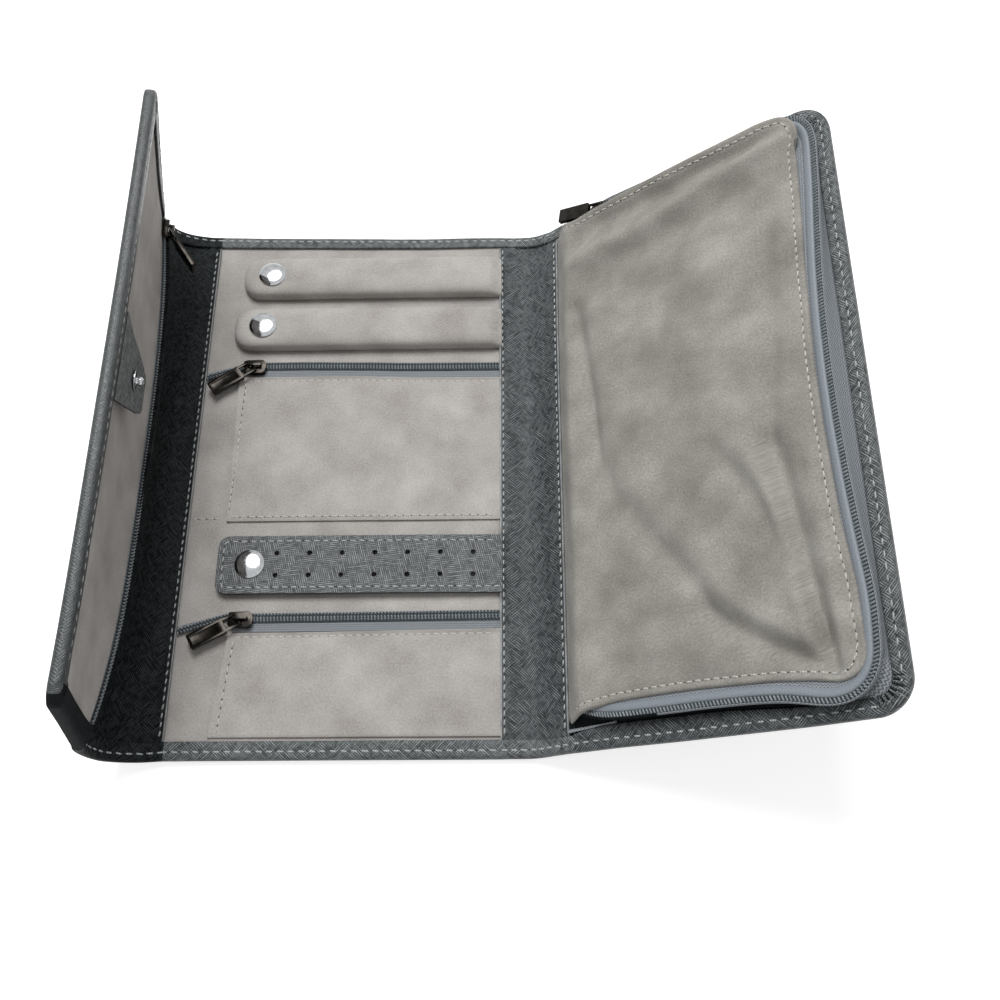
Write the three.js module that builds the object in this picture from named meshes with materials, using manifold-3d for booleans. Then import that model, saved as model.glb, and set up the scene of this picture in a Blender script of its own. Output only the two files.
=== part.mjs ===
// Tri-fold travel jewelry organizer, lying open: a flat middle panel, a short closure flap on the
// left and a zipped case on the right, each on a soft spine. Millimetres, +X to the case,
// +Y to the far end, +Z up. The origin is the centre of the middle panel's underside.
import * as THREE from 'three';
import { mergeVertices } from 'three/addons/utils/BufferGeometryUtils.js';
import Module from 'manifold-3d';

// Driving dimensions

// Overall outline of the open cover
const LENGTH = 235;            // along Y, the same for every panel
const FOLD_X = 67;             // from the middle's centre line to each of its two folds
const RIGHT_SPINE = 23;        // right spine, fold to fold
const LEFT_SPINE = 32;         // left spine, fold to fold; it wraps round the closed case
const CASE_WIDTH = 124;        // case, fold to outer edge
const FLAP_WIDTH = 72;         // closure flap, fold to outer edge
const CASE_CORNER = 12;        // radius of the case's two outer corners
const FLAP_CORNER = 7;         // radius of the flap's two outer corners
const HALF = LENGTH / 2;

// Rest angles, in degrees
const RIGHT_SPINE_ANGLE = 26;  // right spine above the table
const CASE_ANGLE = 34;         // case above the table
const LEFT_SPINE_ANGLE = 52;   // left spine above the table
const FLAP_ANGLE = 104;        // flap above the table; past 90 it leans over the middle
const TAB_STAND = 8;           // free end of the closure tab, off the flap's lining

// Sheet materials and the play between layers
const LEATHER = 1.0;
const BOARD = 1.0;
const SUEDE = 0.7;
const TAPE = 0.6;
const PLAY = 0.3;
const HEM = 8;                 // width of the cover's turned edge
const FOLD_SETBACK = 2.3;      // inner layers stop this far short of a fold
const COVER_SETBACK = 0.25;    // a panel's outer leather stops this far short of a fold
const SPINE_SETBACK = 0.6;     // a spine's leather stops this far short of a fold
const SPINE_HEM_SETBACK = 3.9; // a spine's hems stop this far short of its leather's edge
const SEAM_STRIP_EDGE = FOLD_X - 4;  // stitched edge of the spine leather on the middle's lining

// Zip chains
const COIL_WIDTH = 1.65;
const COIL_HEIGHT = 1.4;
const COIL_SPLIT = 0.3;        // between the two coils
const TAPE_HALF = 4.2;         // from the chain's centre to a tape's far edge

// Zip sliders and pullers
const SLIDER_LENGTH = 9.6;
const SLIDER_WALL = 0.8;
const BRIDGE_WINDOW = 1.3;     // clear height under the bridge
const BRIDGE_SPAN = 5.8;
const BRIDGE_WIDTH = 1.3;
const PULLER_BAR_R = 0.5;      // bar of the puller's loop that runs under the bridge
const PULLER_BAR_X = -0.9;     // that bar, from the slider's middle
const PULLER_ARM = 5.6;        // loop, from its bar to the tag
const PULLER_LOOP_HALF = 1.9;  // half the loop's clear width
const PULLER_WIRE = 0.9;
const TAG_LENGTH = 14.6;
const TAG_WIDTH = 6.2;
const TAG_THICK = 1.8;
const TAG_RECESS = 0.5;
const TAG_RIM = 1.2;           // raised border round the recess

// Snaps
const CAP_R = 5.9;
const CAP_HEIGHT = 1.5;
const STUD_FLANGE_R = 4.2;
const STUD_FLANGE = 0.5;
const STUD_NECK_R = 1.2;
const STUD_BALL_R = 1.7;
const STUD_HEIGHT = 3.4;
const SOCKET_R = 4.6;
const SOCKET_BORE_R = 2.3;
const SOCKET_HEIGHT = 2.2;
const SOCKET_FLOOR = 0.4;
const SNAP_SEAT = 0.05;        // play under a snap part
const STRAP_STUD_R = 3.6;      // base of the strap's low stud

// Padded ring bars
const BAR_WIDTH = 19.4;
const BAR_HEIGHT = 7;
const BAR_END_RADIUS = 8;
const UPPER_BAR_FROM_END = 25.5;
const BAR_PITCH = 26;
const UPPER_BAR_INSET = 17;    // free end from the left fold
const LOWER_BAR_INSET = 15;
const UPPER_BAR_Y = HALF - UPPER_BAR_FROM_END;
const LOWER_BAR_Y = UPPER_BAR_Y - BAR_PITCH;
const UPPER_BAR_LEFT = UPPER_BAR_INSET - FOLD_X;
const LOWER_BAR_LEFT = LOWER_BAR_INSET - FOLD_X;
const CAP_INSET = 13;          // snap centre from a bar's free end
const ROOT_X = SEAM_STRIP_EDGE - 0.4;

// Zipped pockets on the middle
const BAR_TO_ZIP = 20;
const ZIP_INSET = 26;          // from the left fold to where the chain leaves its straight run
const TAIL_INSET = 5.5;
const UPPER_ZIP_Y = LOWER_BAR_Y - BAR_TO_ZIP;
const ZIP_LEFT = ZIP_INSET - FOLD_X;
const ZIP_TAIL_X = TAIL_INSET - FOLD_X;
const ZIP_TAIL_DROP = 6.5;     // the tail of the upper tape sinks this far
const UPPER_POCKET_INSET = 20.5;
const UPPER_POCKET_DEPTH = 68;
const LOWER_POCKET_INSET = 25;
const UPPER_POCKET_LEFT = UPPER_POCKET_INSET - FOLD_X;
const UPPER_POCKET_BOTTOM = UPPER_ZIP_Y - UPPER_POCKET_DEPTH;
const LOWER_POCKET_LEFT = LOWER_POCKET_INSET - FOLD_X;
const POCKET_SUEDE = 0.8;
const POCKET_CORNER = 2.5;
const UPPER_SLIDER_X = ZIP_LEFT - 1.5;
const LOWER_SLIDER_X = ZIP_LEFT + 3;
const UPPER_PULLER_YAW = 34;   // puller's turn from the chain, towards the near end
const LOWER_PULLER_YAW = 28;

// Earring strap
const POCKET_TO_STRAP = 20;
const STRAP_TO_ZIP = 22;
const STRAP_INSET = 18;        // free end from the left fold
const STRAP_Y = UPPER_POCKET_BOTTOM - POCKET_TO_STRAP;
const STRAP_WIDTH = 24;
const STRAP_THICK = 2;
const STRAP_LEFT = STRAP_INSET - FOLD_X;
const STRAP_CORNER = 4;
const STRAP_STAND = 1.6;       // clear of the lining, for the snap beneath
const STRAP_CAP_X = STRAP_LEFT + CAP_INSET;
const HOLE_R = 1.0;
const HOLE_PITCH = 12.9;
const HOLE_ROW = 9.2;
const HOLE_COLUMNS = 7;
const CAP_TO_HOLES = 10.4;
const FIRST_HOLE_X = STRAP_CAP_X + CAP_TO_HOLES;
const LOWER_ZIP_Y = STRAP_Y - STRAP_TO_ZIP;

// Closure flap
const FLAP_ZIP_S = 6.2;        // chain from the fold
const FLAP_SLIDER_FROM_END = 15.5;
const FLAP_SLIDER_Y = HALF - FLAP_SLIDER_FROM_END;
const FLAP_PULLER_SWING = 36;  // puller off the flap at rest
const TAB_Y = 6;
const TAB_ROOT_WIDTH = 35;
const TAB_TIP_WIDTH = 19;
const TAB_LENGTH = 30;
const TAB_CORNER = 5;
const TAB_STUD_FROM_ROOT = 18;

// Case and its door
const CHAIN_INSET = 8.65;      // chain's centre line from the case's edge
const CHAIN_CORNER = 9;        // radius of that line at the two outer corners
const GUSSET_HEIGHT = 5.5;     // gusset tape, hem level to chain level
const DOOR_INSET = 13.3;       // door's outer edge from the case's edge
const DOOR_END_INSET = 12.3;   // door's far and near edges from the case's
const DOOR_SUEDE = 1.0;
const DOOR_CROWN = 1.3;        // door's middle above its edge
const DOOR_HINGE_S = 3.2;      // sewn edge of the door from the fold
const DOOR_CORNER = 9;
const DOOR_SHOULDER = 16;      // the crown has risen by this far in from the door's edge
const CASE_SLIDER_S = 27;
const CASE_PULLER_YAW = -10;   // puller's turn from the chain, outwards, folded back over the slider
const CASE_CHAIN_START = 4;
const DOOR_CHAIN_START = CASE_SLIDER_S + SLIDER_LENGTH / 2 + 1.2;  // clear of the slider

// Levels above the outer face, the same on every panel
const AXIS_H = LEATHER / 2;
const BOARD_H = LEATHER + PLAY;
const LINING_H = BOARD_H + BOARD + PLAY;
const LINING_TOP = LINING_H + SUEDE;
const HEM_H = LINING_TOP + PLAY;
const HEM_TOP = HEM_H + LEATHER;
const BAND_H = LEATHER + PLAY;
const SPINE_HEM_H = BAND_H + LEATHER + PLAY;
const ROOF_H = PLAY + COIL_HEIGHT + PLAY;
const BRIDGE_H = ROOF_H + SLIDER_WALL;
const PULLER_AXIS_H = BRIDGE_H + BRIDGE_WINDOW / 2;
const CHAIN_HALF = COIL_SPLIT / 2 + COIL_WIDTH;

// Materials

function material(color, roughness, metalness = 0) {
  return new THREE.MeshStandardMaterial({ color, roughness, metalness });
}

const leather = material(0x4b4e51, 0.55);
const board = material(0x8d8678, 0.9);
const suede = material(0xaea8a1, 0.95);
const doorSuede = material(0xa29d95, 0.95);
const tape = material(0x7f878e, 0.85);
const coil = material(0x66727b, 0.5);
const gunmetal = material(0x4d4b49, 0.3, 1);
const chrome = material(0xd4d6d8, 0.12, 1);

// Solids

const wasm = await Module();
wasm.setup();

function toSolid(geometry) {
  geometry.deleteAttribute('normal');
  geometry.deleteAttribute('uv');
  const merged = mergeVertices(geometry, 1e-4);
  return new wasm.Manifold(new wasm.Mesh({
    numProp: 3,
    vertProperties: new Float32Array(merged.attributes.position.array),
    triVerts: new Uint32Array(merged.index.array),
  }));
}

function toGeometry(solid) {
  const mesh = solid.getMesh();
  const geometry = new THREE.BufferGeometry();
  geometry.setAttribute('position', new THREE.BufferAttribute(mesh.vertProperties, 3));
  geometry.setIndex(new THREE.BufferAttribute(mesh.triVerts, 1));
  geometry.computeVertexNormals();
  return geometry;
}

function box(x0, x1, y0, y1, z0, z1) {
  const geometry = new THREE.BoxGeometry(x1 - x0, y1 - y0, z1 - z0);
  return geometry.translate((x0 + x1) / 2, (y0 + y1) / 2, (z0 + z1) / 2);
}

function plate(shape, z0, z1, curveSegments = 6) {
  const geometry = new THREE.ExtrudeGeometry(shape, { depth: z1 - z0, bevelEnabled: false, curveSegments });
  return geometry.translate(0, 0, z0);
}

function disc(radius, z0, z1, x = 0, y = 0, sides = 24) {
  const geometry = new THREE.CylinderGeometry(radius, radius, z1 - z0, sides);
  return geometry.rotateX(Math.PI / 2).translate(x, y, (z0 + z1) / 2);
}

function lathe(points, sides = 24) {
  const profile = points.map(([r, z]) => new THREE.Vector2(r, z));
  return new THREE.LatheGeometry(profile, sides).rotateX(Math.PI / 2);
}

// A panel's outline from a straight edge at x0 to an outer edge at x1 with two round corners.
function panelShape(x0, x1, half, radius) {
  const shape = new THREE.Shape();
  shape.moveTo(x0, -half);
  shape.lineTo(x1 - radius, -half);
  shape.absarc(x1 - radius, -half + radius, radius, -Math.PI / 2, 0);
  shape.lineTo(x1, half - radius);
  shape.absarc(x1 - radius, half - radius, radius, 0, Math.PI / 2);
  shape.lineTo(x0, half);
  shape.closePath();
  return shape;
}

function roundedShape(x0, x1, y0, y1, radius) {
  const shape = new THREE.Shape();
  shape.moveTo(x0 + radius, y0);
  shape.lineTo(x1 - radius, y0);
  shape.absarc(x1 - radius, y0 + radius, radius, -Math.PI / 2, 0);
  shape.lineTo(x1, y1 - radius);
  shape.absarc(x1 - radius, y1 - radius, radius, 0, Math.PI / 2);
  shape.lineTo(x0 + radius, y1);
  shape.absarc(x0 + radius, y1 - radius, radius, Math.PI / 2, Math.PI);
  shape.lineTo(x0, y0 + radius);
  shape.absarc(x0 + radius, y0 + radius, radius, Math.PI, Math.PI * 1.5);
  return shape;
}

// A leather cover: outer face, edge and turned hem in one skin, open at its fold side.
function hemmedCover(width, radius) {
  const inner = width - LEATHER;
  const halfIn = HALF - LEATHER;
  const skin = toSolid(plate(panelShape(COVER_SETBACK, width, HALF, radius), 0, HEM_TOP));
  const cavity = toSolid(plate(panelShape(-1, inner, halfIn, radius - LEATHER), LEATHER, HEM_H));
  const frame = panelShape(-1, width - HEM, HALF - HEM, Math.max(radius - HEM, 2));
  const window = toSolid(plate(frame, LEATHER + 0.1, HEM_TOP + 1));
  const hemStart = toSolid(box(-1, FOLD_SETBACK, -HALF - 1, HALF + 1, LEATHER, HEM_TOP + 1));
  return toGeometry(skin.subtract(cavity).subtract(window).subtract(hemStart));
}

// A strip of cover between two folds, with a hem at each end. x0 and x1 are its cut edges,
// and the hems stop short of them by the setback.
function endHemmedCover(x0, x1, hemH, setback) {
  const top = hemH + LEATHER;
  const skin = toSolid(box(x0, x1, -HALF, HALF, 0, top));
  const cavity = toSolid(box(x0 - 1, x1 + 1, -HALF + LEATHER, HALF - LEATHER, LEATHER, hemH));
  const window = toSolid(box(x0 - 1, x1 + 1, -HALF + HEM, HALF - HEM, LEATHER + 0.1, top + 1));
  const left = toSolid(box(x0 - 1, x0 + setback, -HALF - 1, HALF + 1, LEATHER, top + 1));
  const right = toSolid(box(x1 - setback, x1 + 1, -HALF - 1, HALF + 1, LEATHER, top + 1));
  return toGeometry(skin.subtract(cavity).subtract(window).subtract(left).subtract(right));
}

// A closed body through a row of rings, each with the same count of [x, y, z] points.
function loft(rings) {
  const count = rings[0].length;
  const positions = rings.flat(2);
  const index = [];
  for (let i = 0; i < rings.length - 1; i += 1) {
    for (let j = 0; j < count; j += 1) {
      const a = i * count + j;
      const b = i * count + ((j + 1) % count);
      index.push(a, b, a + count, b, b + count, a + count);
    }
  }
  const last = (rings.length - 1) * count;
  for (let j = 1; j < count - 1; j += 1) {
    index.push(0, j + 1, j);
    index.push(last, last + j, last + j + 1);
  }
  const geometry = new THREE.BufferGeometry();
  geometry.setAttribute('position', new THREE.BufferAttribute(new Float32Array(positions), 3));
  geometry.setIndex(index);
  return geometry;
}

// Scene graph

const organizer = new THREE.Group();

function place(group, name, geometry, finish) {
  const mesh = new THREE.Mesh(geometry, finish);
  mesh.name = name;
  group.add(mesh);
  return mesh;
}

const radians = THREE.MathUtils.degToRad;

// A panel's group lies at its fold, with X along the panel and Z off its lined side.
// Its Z is 0 at the outer face.
function foldGroup(parent, along, angle) {
  const axis = new THREE.Group();
  axis.position.set(along, 0, AXIS_H);
  axis.rotation.y = -radians(angle);
  parent.add(axis);
  const panel = new THREE.Group();
  panel.position.z = -AXIS_H;
  axis.add(panel);
  return panel;
}

const middle = new THREE.Group();
organizer.add(middle);
const leftSide = new THREE.Group();
leftSide.rotation.z = Math.PI;
organizer.add(leftSide);
const rightSpine = foldGroup(organizer, FOLD_X, RIGHT_SPINE_ANGLE);
const caseBack = foldGroup(rightSpine, RIGHT_SPINE, CASE_ANGLE - RIGHT_SPINE_ANGLE);
const leftSpine = foldGroup(leftSide, FOLD_X, LEFT_SPINE_ANGLE);
const flap = foldGroup(leftSpine, LEFT_SPINE, FLAP_ANGLE - LEFT_SPINE_ANGLE);

// Snap parts

function stud() {
  const ball = STUD_HEIGHT - STUD_BALL_R;
  const neckEnd = ball - Math.sqrt(STUD_BALL_R ** 2 - STUD_NECK_R ** 2);
  const points = [[0, 0], [STUD_FLANGE_R, 0], [STUD_FLANGE_R, STUD_FLANGE], [STUD_NECK_R, STUD_FLANGE]];
  const steps = 6;
  const start = Math.asin((neckEnd - ball) / STUD_BALL_R);
  for (let i = 0; i <= steps; i += 1) {
    const turn = start + ((Math.PI / 2 - start) * i) / steps;
    points.push([STUD_BALL_R * Math.cos(turn) * (i < steps), ball + STUD_BALL_R * Math.sin(turn)]);
  }
  return lathe(points, 20);
}

function socket(height, floor) {
  return lathe([
    [0, 0], [SOCKET_R, 0], [SOCKET_R, height * 0.6], [SOCKET_R - 0.8, height],
    [SOCKET_BORE_R, height], [SOCKET_BORE_R, floor], [0, floor],
  ], 20);
}

function cap() {
  return lathe([
    [0, 0], [CAP_R - 0.3, 0], [CAP_R, 0.35], [CAP_R - 0.5, CAP_HEIGHT * 0.62],
    [CAP_R * 0.66, CAP_HEIGHT * 0.9], [CAP_R * 0.33, CAP_HEIGHT], [0, CAP_HEIGHT],
  ], 24);
}

// Zip parts: in a zip's frame X runs along the chain and Z is 0 on top of the tape.

function slider() {
  const halfIn = CHAIN_HALF + PLAY;
  const halfOut = halfIn + SLIDER_WALL;
  const nose = SLIDER_LENGTH / 2;
  const outline = new THREE.Shape();
  outline.moveTo(-nose, -halfOut + 0.4);
  outline.lineTo(-nose + 1, -halfOut);
  outline.lineTo(nose - 2.2, -halfOut - 0.3);
  outline.quadraticCurveTo(nose, -halfOut, nose, 0);
  outline.quadraticCurveTo(nose, halfOut, nose - 2.2, halfOut + 0.3);
  outline.lineTo(-nose + 1, halfOut);
  outline.lineTo(-nose, halfOut - 0.4);
  outline.closePath();
  const shell = toSolid(plate(outline, PLAY, BRIDGE_H, 4));
  const channel = toSolid(box(-nose - 1, nose + 1, -halfIn, halfIn, PLAY - 1, ROOF_H));
  const bridgeHalf = BRIDGE_SPAN / 2;
  const top = BRIDGE_H + BRIDGE_WINDOW + SLIDER_WALL;
  const side = BRIDGE_WIDTH / 2;
  const arch = toSolid(box(-bridgeHalf, bridgeHalf, -side, side, BRIDGE_H - 0.3, top));
  const post = bridgeHalf - SLIDER_WALL;
  const clear = BRIDGE_H + BRIDGE_WINDOW;
  const window = toSolid(box(-post, post, -BRIDGE_WIDTH, BRIDGE_WIDTH, BRIDGE_H, clear));
  return toGeometry(shell.subtract(channel).add(arch.subtract(window)));
}

// The puller's own frame: its bar lies on the Y axis and its tag runs to -X.
function puller() {
  const half = PULLER_LOOP_HALF + PULLER_WIRE;
  const bar = new THREE.CylinderGeometry(PULLER_BAR_R, PULLER_BAR_R, 2 * half, 10);
  let solid = toSolid(bar);
  const drop = TAG_THICK - PULLER_BAR_R;
  for (const side of [-1, 1]) {
    const inner = side * PULLER_LOOP_HALF;
    const outer = side * half;
    const [low, high] = [Math.min(inner, outer), Math.max(inner, outer)];
    solid = solid.add(toSolid(box(-PULLER_ARM - 0.5, 0, low, high, -0.4, 0.4)));
  }
  const tagEnd = -PULLER_ARM - TAG_LENGTH;
  const shape = roundedShape(tagEnd, -PULLER_ARM, -TAG_WIDTH / 2, TAG_WIDTH / 2, 0.5);
  solid = solid.add(toSolid(plate(shape, -drop, PULLER_BAR_R, 2)));
  const grooveHalf = TAG_WIDTH / 2 - TAG_RIM;
  const grooveFloor = PULLER_BAR_R - TAG_RECESS;
  const groove = box(tagEnd + TAG_RIM, -PULLER_ARM - 1.8, -grooveHalf, grooveHalf, grooveFloor, 2);
  return toGeometry(solid.subtract(toSolid(groove)));
}

// A group whose Z is 0 on top of a tape and whose X runs along the chain.
function zipFrame(parent, x, y, tapeTop, turn) {
  const frame = new THREE.Group();
  frame.position.set(x, y, tapeTop);
  frame.rotation.z = radians(turn);
  parent.add(frame);
  return frame;
}

// The slider at the frame's origin, and its puller with its yaw in the tape's plane and its
// swing off the tape, both in degrees.
function sliderWithPuller(frame, name, yaw, swing) {
  place(frame, `${name}_slider`, slider(), gunmetal);
  const hung = place(frame, `${name}_puller`, puller(), gunmetal);
  hung.position.set(PULLER_BAR_X, 0, PULLER_AXIS_H);
  hung.rotation.set(0, radians(swing), radians(yaw), 'ZYX');
}

// Middle panel

const COVER_EDGE = FOLD_X - COVER_SETBACK;
const INNER_EDGE = FOLD_X - FOLD_SETBACK;
const INNER_HALF = HALF - LEATHER - PLAY;

function makeMiddle() {
  place(middle, 'middle_cover',
    endHemmedCover(-COVER_EDGE, COVER_EDGE, HEM_H, FOLD_SETBACK - COVER_SETBACK), leather);
  place(middle, 'middle_board',
    box(-INNER_EDGE, INNER_EDGE, -INNER_HALF, INNER_HALF, BOARD_H, BOARD_H + BOARD), board);
  place(middle, 'middle_lining',
    box(-INNER_EDGE, INNER_EDGE, -INNER_HALF, INNER_HALF, LINING_H, LINING_TOP), suede);
  const stripHalf = HALF - HEM - PLAY;
  place(middle, 'left_seam_strip',
    box(-INNER_EDGE, -SEAM_STRIP_EDGE, -stripHalf, stripHalf, HEM_H, HEM_TOP), leather);
  place(middle, 'right_seam_strip',
    box(SEAM_STRIP_EDGE, INNER_EDGE, -stripHalf, stripHalf, HEM_H, HEM_TOP), leather);
}

// Ring bars: stuffed suede tubes with a crown, sides that draw in at the free end and a flatter
// sewn end. A recess under each holds the snap.
const BAR_BASE = LINING_TOP + PLAY;
const BAR_FLAT = 0.3;          // shaved off the underside, where the bar lies on the lining
const RECESS_R = SOCKET_R + PLAY;
const RECESS_HEIGHT = STUD_FLANGE + STUD_HEIGHT + 0.6;

// Along a bar, from the free end to the root: share of the length, width and height.
const BAR_STATIONS = [
  [0.12, 1, 0.97], [0.3, 1, 1], [0.5, 0.985, 1], [0.7, 1, 1],
  [0.88, 0.99, 0.9], [0.96, 0.97, 0.76], [1, 0.96, 0.66],
];

function barRing(x, width, height) {
  const ring = [];
  const points = 18;
  for (let i = 0; i < points; i += 1) {
    const turn = (2 * Math.PI * i) / points;
    const across = Math.sign(Math.cos(turn)) * Math.abs(Math.cos(turn)) ** 0.75;
    const up = Math.sign(Math.sin(turn)) * Math.abs(Math.sin(turn)) ** 0.65;
    const belly = 0.34 * height;
    const z = up > 0 ? up * (height - belly) : up * belly;
    ring.push([x, (across * width) / 2, belly + z]);
  }
  return ring;
}

function ringBar(left) {
  const rings = [];
  const endSteps = 5;
  for (let i = 0; i < endSteps; i += 1) {
    const turn = ((i + 0.35) / endSteps) * (Math.PI / 2);
    const draw = Math.sin(turn);
    const width = BAR_WIDTH - 2 * BAR_END_RADIUS * (1 - draw);
    const height = BAR_HEIGHT * (0.45 + 0.5 * draw);
    rings.push(barRing(left + BAR_END_RADIUS * (1 - Math.cos(turn)), width, height));
  }
  const run = ROOT_X - left;
  for (const [share, swell, rise] of BAR_STATIONS) {
    rings.push(barRing(left + share * run, BAR_WIDTH * swell, BAR_HEIGHT * rise));
  }
  const recess = toSolid(disc(RECESS_R, -1, RECESS_HEIGHT, left + CAP_INSET, 0, 20));
  const cut = toSolid(box(left - 1, ROOT_X + 1, -BAR_WIDTH, BAR_WIDTH, -1, BAR_FLAT));
  return toGeometry(toSolid(loft(rings)).subtract(recess).subtract(cut));
}

function makeRingBar(name, left, y) {
  const group = new THREE.Group();
  group.position.set(0, y, BAR_BASE - BAR_FLAT);
  middle.add(group);
  place(group, name, ringBar(left), suede);
  const snapX = left + CAP_INSET;
  const button = place(group, `${name}_cap`, cap(), chrome);
  button.position.set(snapX, 0, BAR_HEIGHT * 0.97 + 0.12);
  const female = place(group, `${name}_socket`, socket(SOCKET_HEIGHT, SOCKET_FLOOR), chrome);
  female.rotation.x = Math.PI;
  female.position.set(snapX, 0, RECESS_HEIGHT - 0.1);
  const male = place(middle, `${name}_stud`, stud(), chrome);
  male.position.set(snapX, y, LINING_TOP + SNAP_SEAT);
}

// Earring strap: one thick leather strip with two rows of holes, held by a snap at its free end.
function makeStrap() {
  const z0 = LINING_TOP + STRAP_STAND;
  const low = STRAP_Y - STRAP_WIDTH / 2;
  const high = STRAP_Y + STRAP_WIDTH / 2;
  const shape = new THREE.Shape();
  shape.moveTo(ROOT_X, low);
  shape.lineTo(ROOT_X, high);
  shape.lineTo(STRAP_LEFT + STRAP_CORNER, high);
  shape.absarc(STRAP_LEFT + STRAP_CORNER, high - STRAP_CORNER, STRAP_CORNER, Math.PI / 2, Math.PI);
  shape.lineTo(STRAP_LEFT, low + STRAP_CORNER);
  shape.absarc(STRAP_LEFT + STRAP_CORNER, low + STRAP_CORNER, STRAP_CORNER, Math.PI, Math.PI * 1.5);
  shape.closePath();
  for (let column = 0; column < HOLE_COLUMNS; column += 1) {
    for (const side of [-1, 1]) {
      const hole = new THREE.Path();
      const x = FIRST_HOLE_X + column * HOLE_PITCH;
      hole.absarc(x, STRAP_Y + (side * HOLE_ROW) / 2, HOLE_R, 0, 2 * Math.PI, true);
      shape.holes.push(hole);
    }
  }
  place(middle, 'earring_strap', plate(shape, z0, z0 + STRAP_THICK, 5), leather);
  const button = place(middle, 'earring_strap_cap', cap(), chrome);
  button.position.set(STRAP_CAP_X, STRAP_Y, z0 + STRAP_THICK + SNAP_SEAT);
  const ring = place(middle, 'earring_strap_socket', socket(1, SOCKET_FLOOR), chrome);
  ring.rotation.x = Math.PI;
  ring.position.set(STRAP_CAP_X, STRAP_Y, z0 - SNAP_SEAT);
  const male = place(middle, 'earring_strap_stud', strapStud(), chrome);
  male.position.set(STRAP_CAP_X, STRAP_Y, LINING_TOP + SNAP_SEAT);
}

// A low stud that reaches into the strap's shallow socket.
function strapStud() {
  return lathe([
    [0, 0], [STRAP_STUD_R, 0], [STRAP_STUD_R, 0.3], [STUD_NECK_R, 0.3],
    [STUD_BALL_R, 0.7], [STUD_NECK_R, 1], [0, 1.05],
  ], 20);
}

// Pocket zips: two tapes, the upper one with a tail that sinks to the left seam, and two coils.
const POCKET_TAPE_H = LINING_TOP + PLAY;
const POCKET_TAPE_TOP = POCKET_TAPE_H + TAPE;

function bentStrip(y0, y1, left, tailX, drop) {
  const shape = new THREE.Shape();
  shape.moveTo(ROOT_X, y0);
  shape.lineTo(ROOT_X, y1);
  shape.lineTo(left, y1);
  shape.lineTo(tailX, y1 - drop);
  shape.lineTo(tailX, y0 - drop);
  shape.lineTo(left, y0);
  shape.closePath();
  return shape;
}

function makePocketZip(name, y, sliderX, yaw) {
  const tapeTop = POCKET_TAPE_TOP;
  const gap = COIL_SPLIT / 2;
  const upperTape = bentStrip(y + gap, y + TAPE_HALF, ZIP_LEFT, ZIP_TAIL_X, ZIP_TAIL_DROP);
  place(middle, `${name}_zip_upper_tape`, plate(upperTape, POCKET_TAPE_H, tapeTop), tape);
  const tailStart = ZIP_LEFT - 0.5;
  place(middle, `${name}_zip_lower_tape`,
    box(tailStart, ROOT_X, y - TAPE_HALF, y - gap, POCKET_TAPE_H, tapeTop), tape);
  const upperCoil = bentStrip(y + gap, y + gap + COIL_WIDTH, ZIP_LEFT, ZIP_TAIL_X, ZIP_TAIL_DROP);
  const coilTop = tapeTop + PLAY + COIL_HEIGHT;
  place(middle, `${name}_zip_upper_coil`, plate(upperCoil, tapeTop + PLAY, coilTop), coil);
  place(middle, `${name}_zip_lower_coil`,
    box(tailStart, ROOT_X, y - gap - COIL_WIDTH, y - gap, tapeTop + PLAY, coilTop), coil);
  sliderWithPuller(zipFrame(middle, sliderX, y, tapeTop, 0), `${name}_pocket`, yaw, 0);
}

function makePocketPanel(name, left, zipY, bottom) {
  const top = zipY - TAPE_HALF - PLAY;
  const shape = new THREE.Shape();
  shape.moveTo(ROOT_X, bottom);
  shape.lineTo(ROOT_X, top);
  shape.lineTo(left + POCKET_CORNER, top);
  shape.absarc(left + POCKET_CORNER, top - POCKET_CORNER, POCKET_CORNER, Math.PI / 2, Math.PI);
  shape.lineTo(left, bottom);
  shape.closePath();
  const panel = plate(shape, POCKET_TAPE_H, POCKET_TAPE_H + POCKET_SUEDE, 3);
  place(middle, `${name}_pocket_panel`, panel, suede);
}

// Spines: outer leather with a hem at each end, and the inner band.

function makeSpine(group, name, width) {
  place(group, `${name}_cover`,
    endHemmedCover(SPINE_SETBACK, width - SPINE_SETBACK, SPINE_HEM_H, SPINE_HEM_SETBACK), leather);
  place(group, `${name}_band`,
    box(SPINE_SETBACK, width - SPINE_SETBACK, -INNER_HALF, INNER_HALF, BAND_H, BAND_H + LEATHER), leather);
}

// Closure flap. Its local Y runs opposite to the organizer's.

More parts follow.
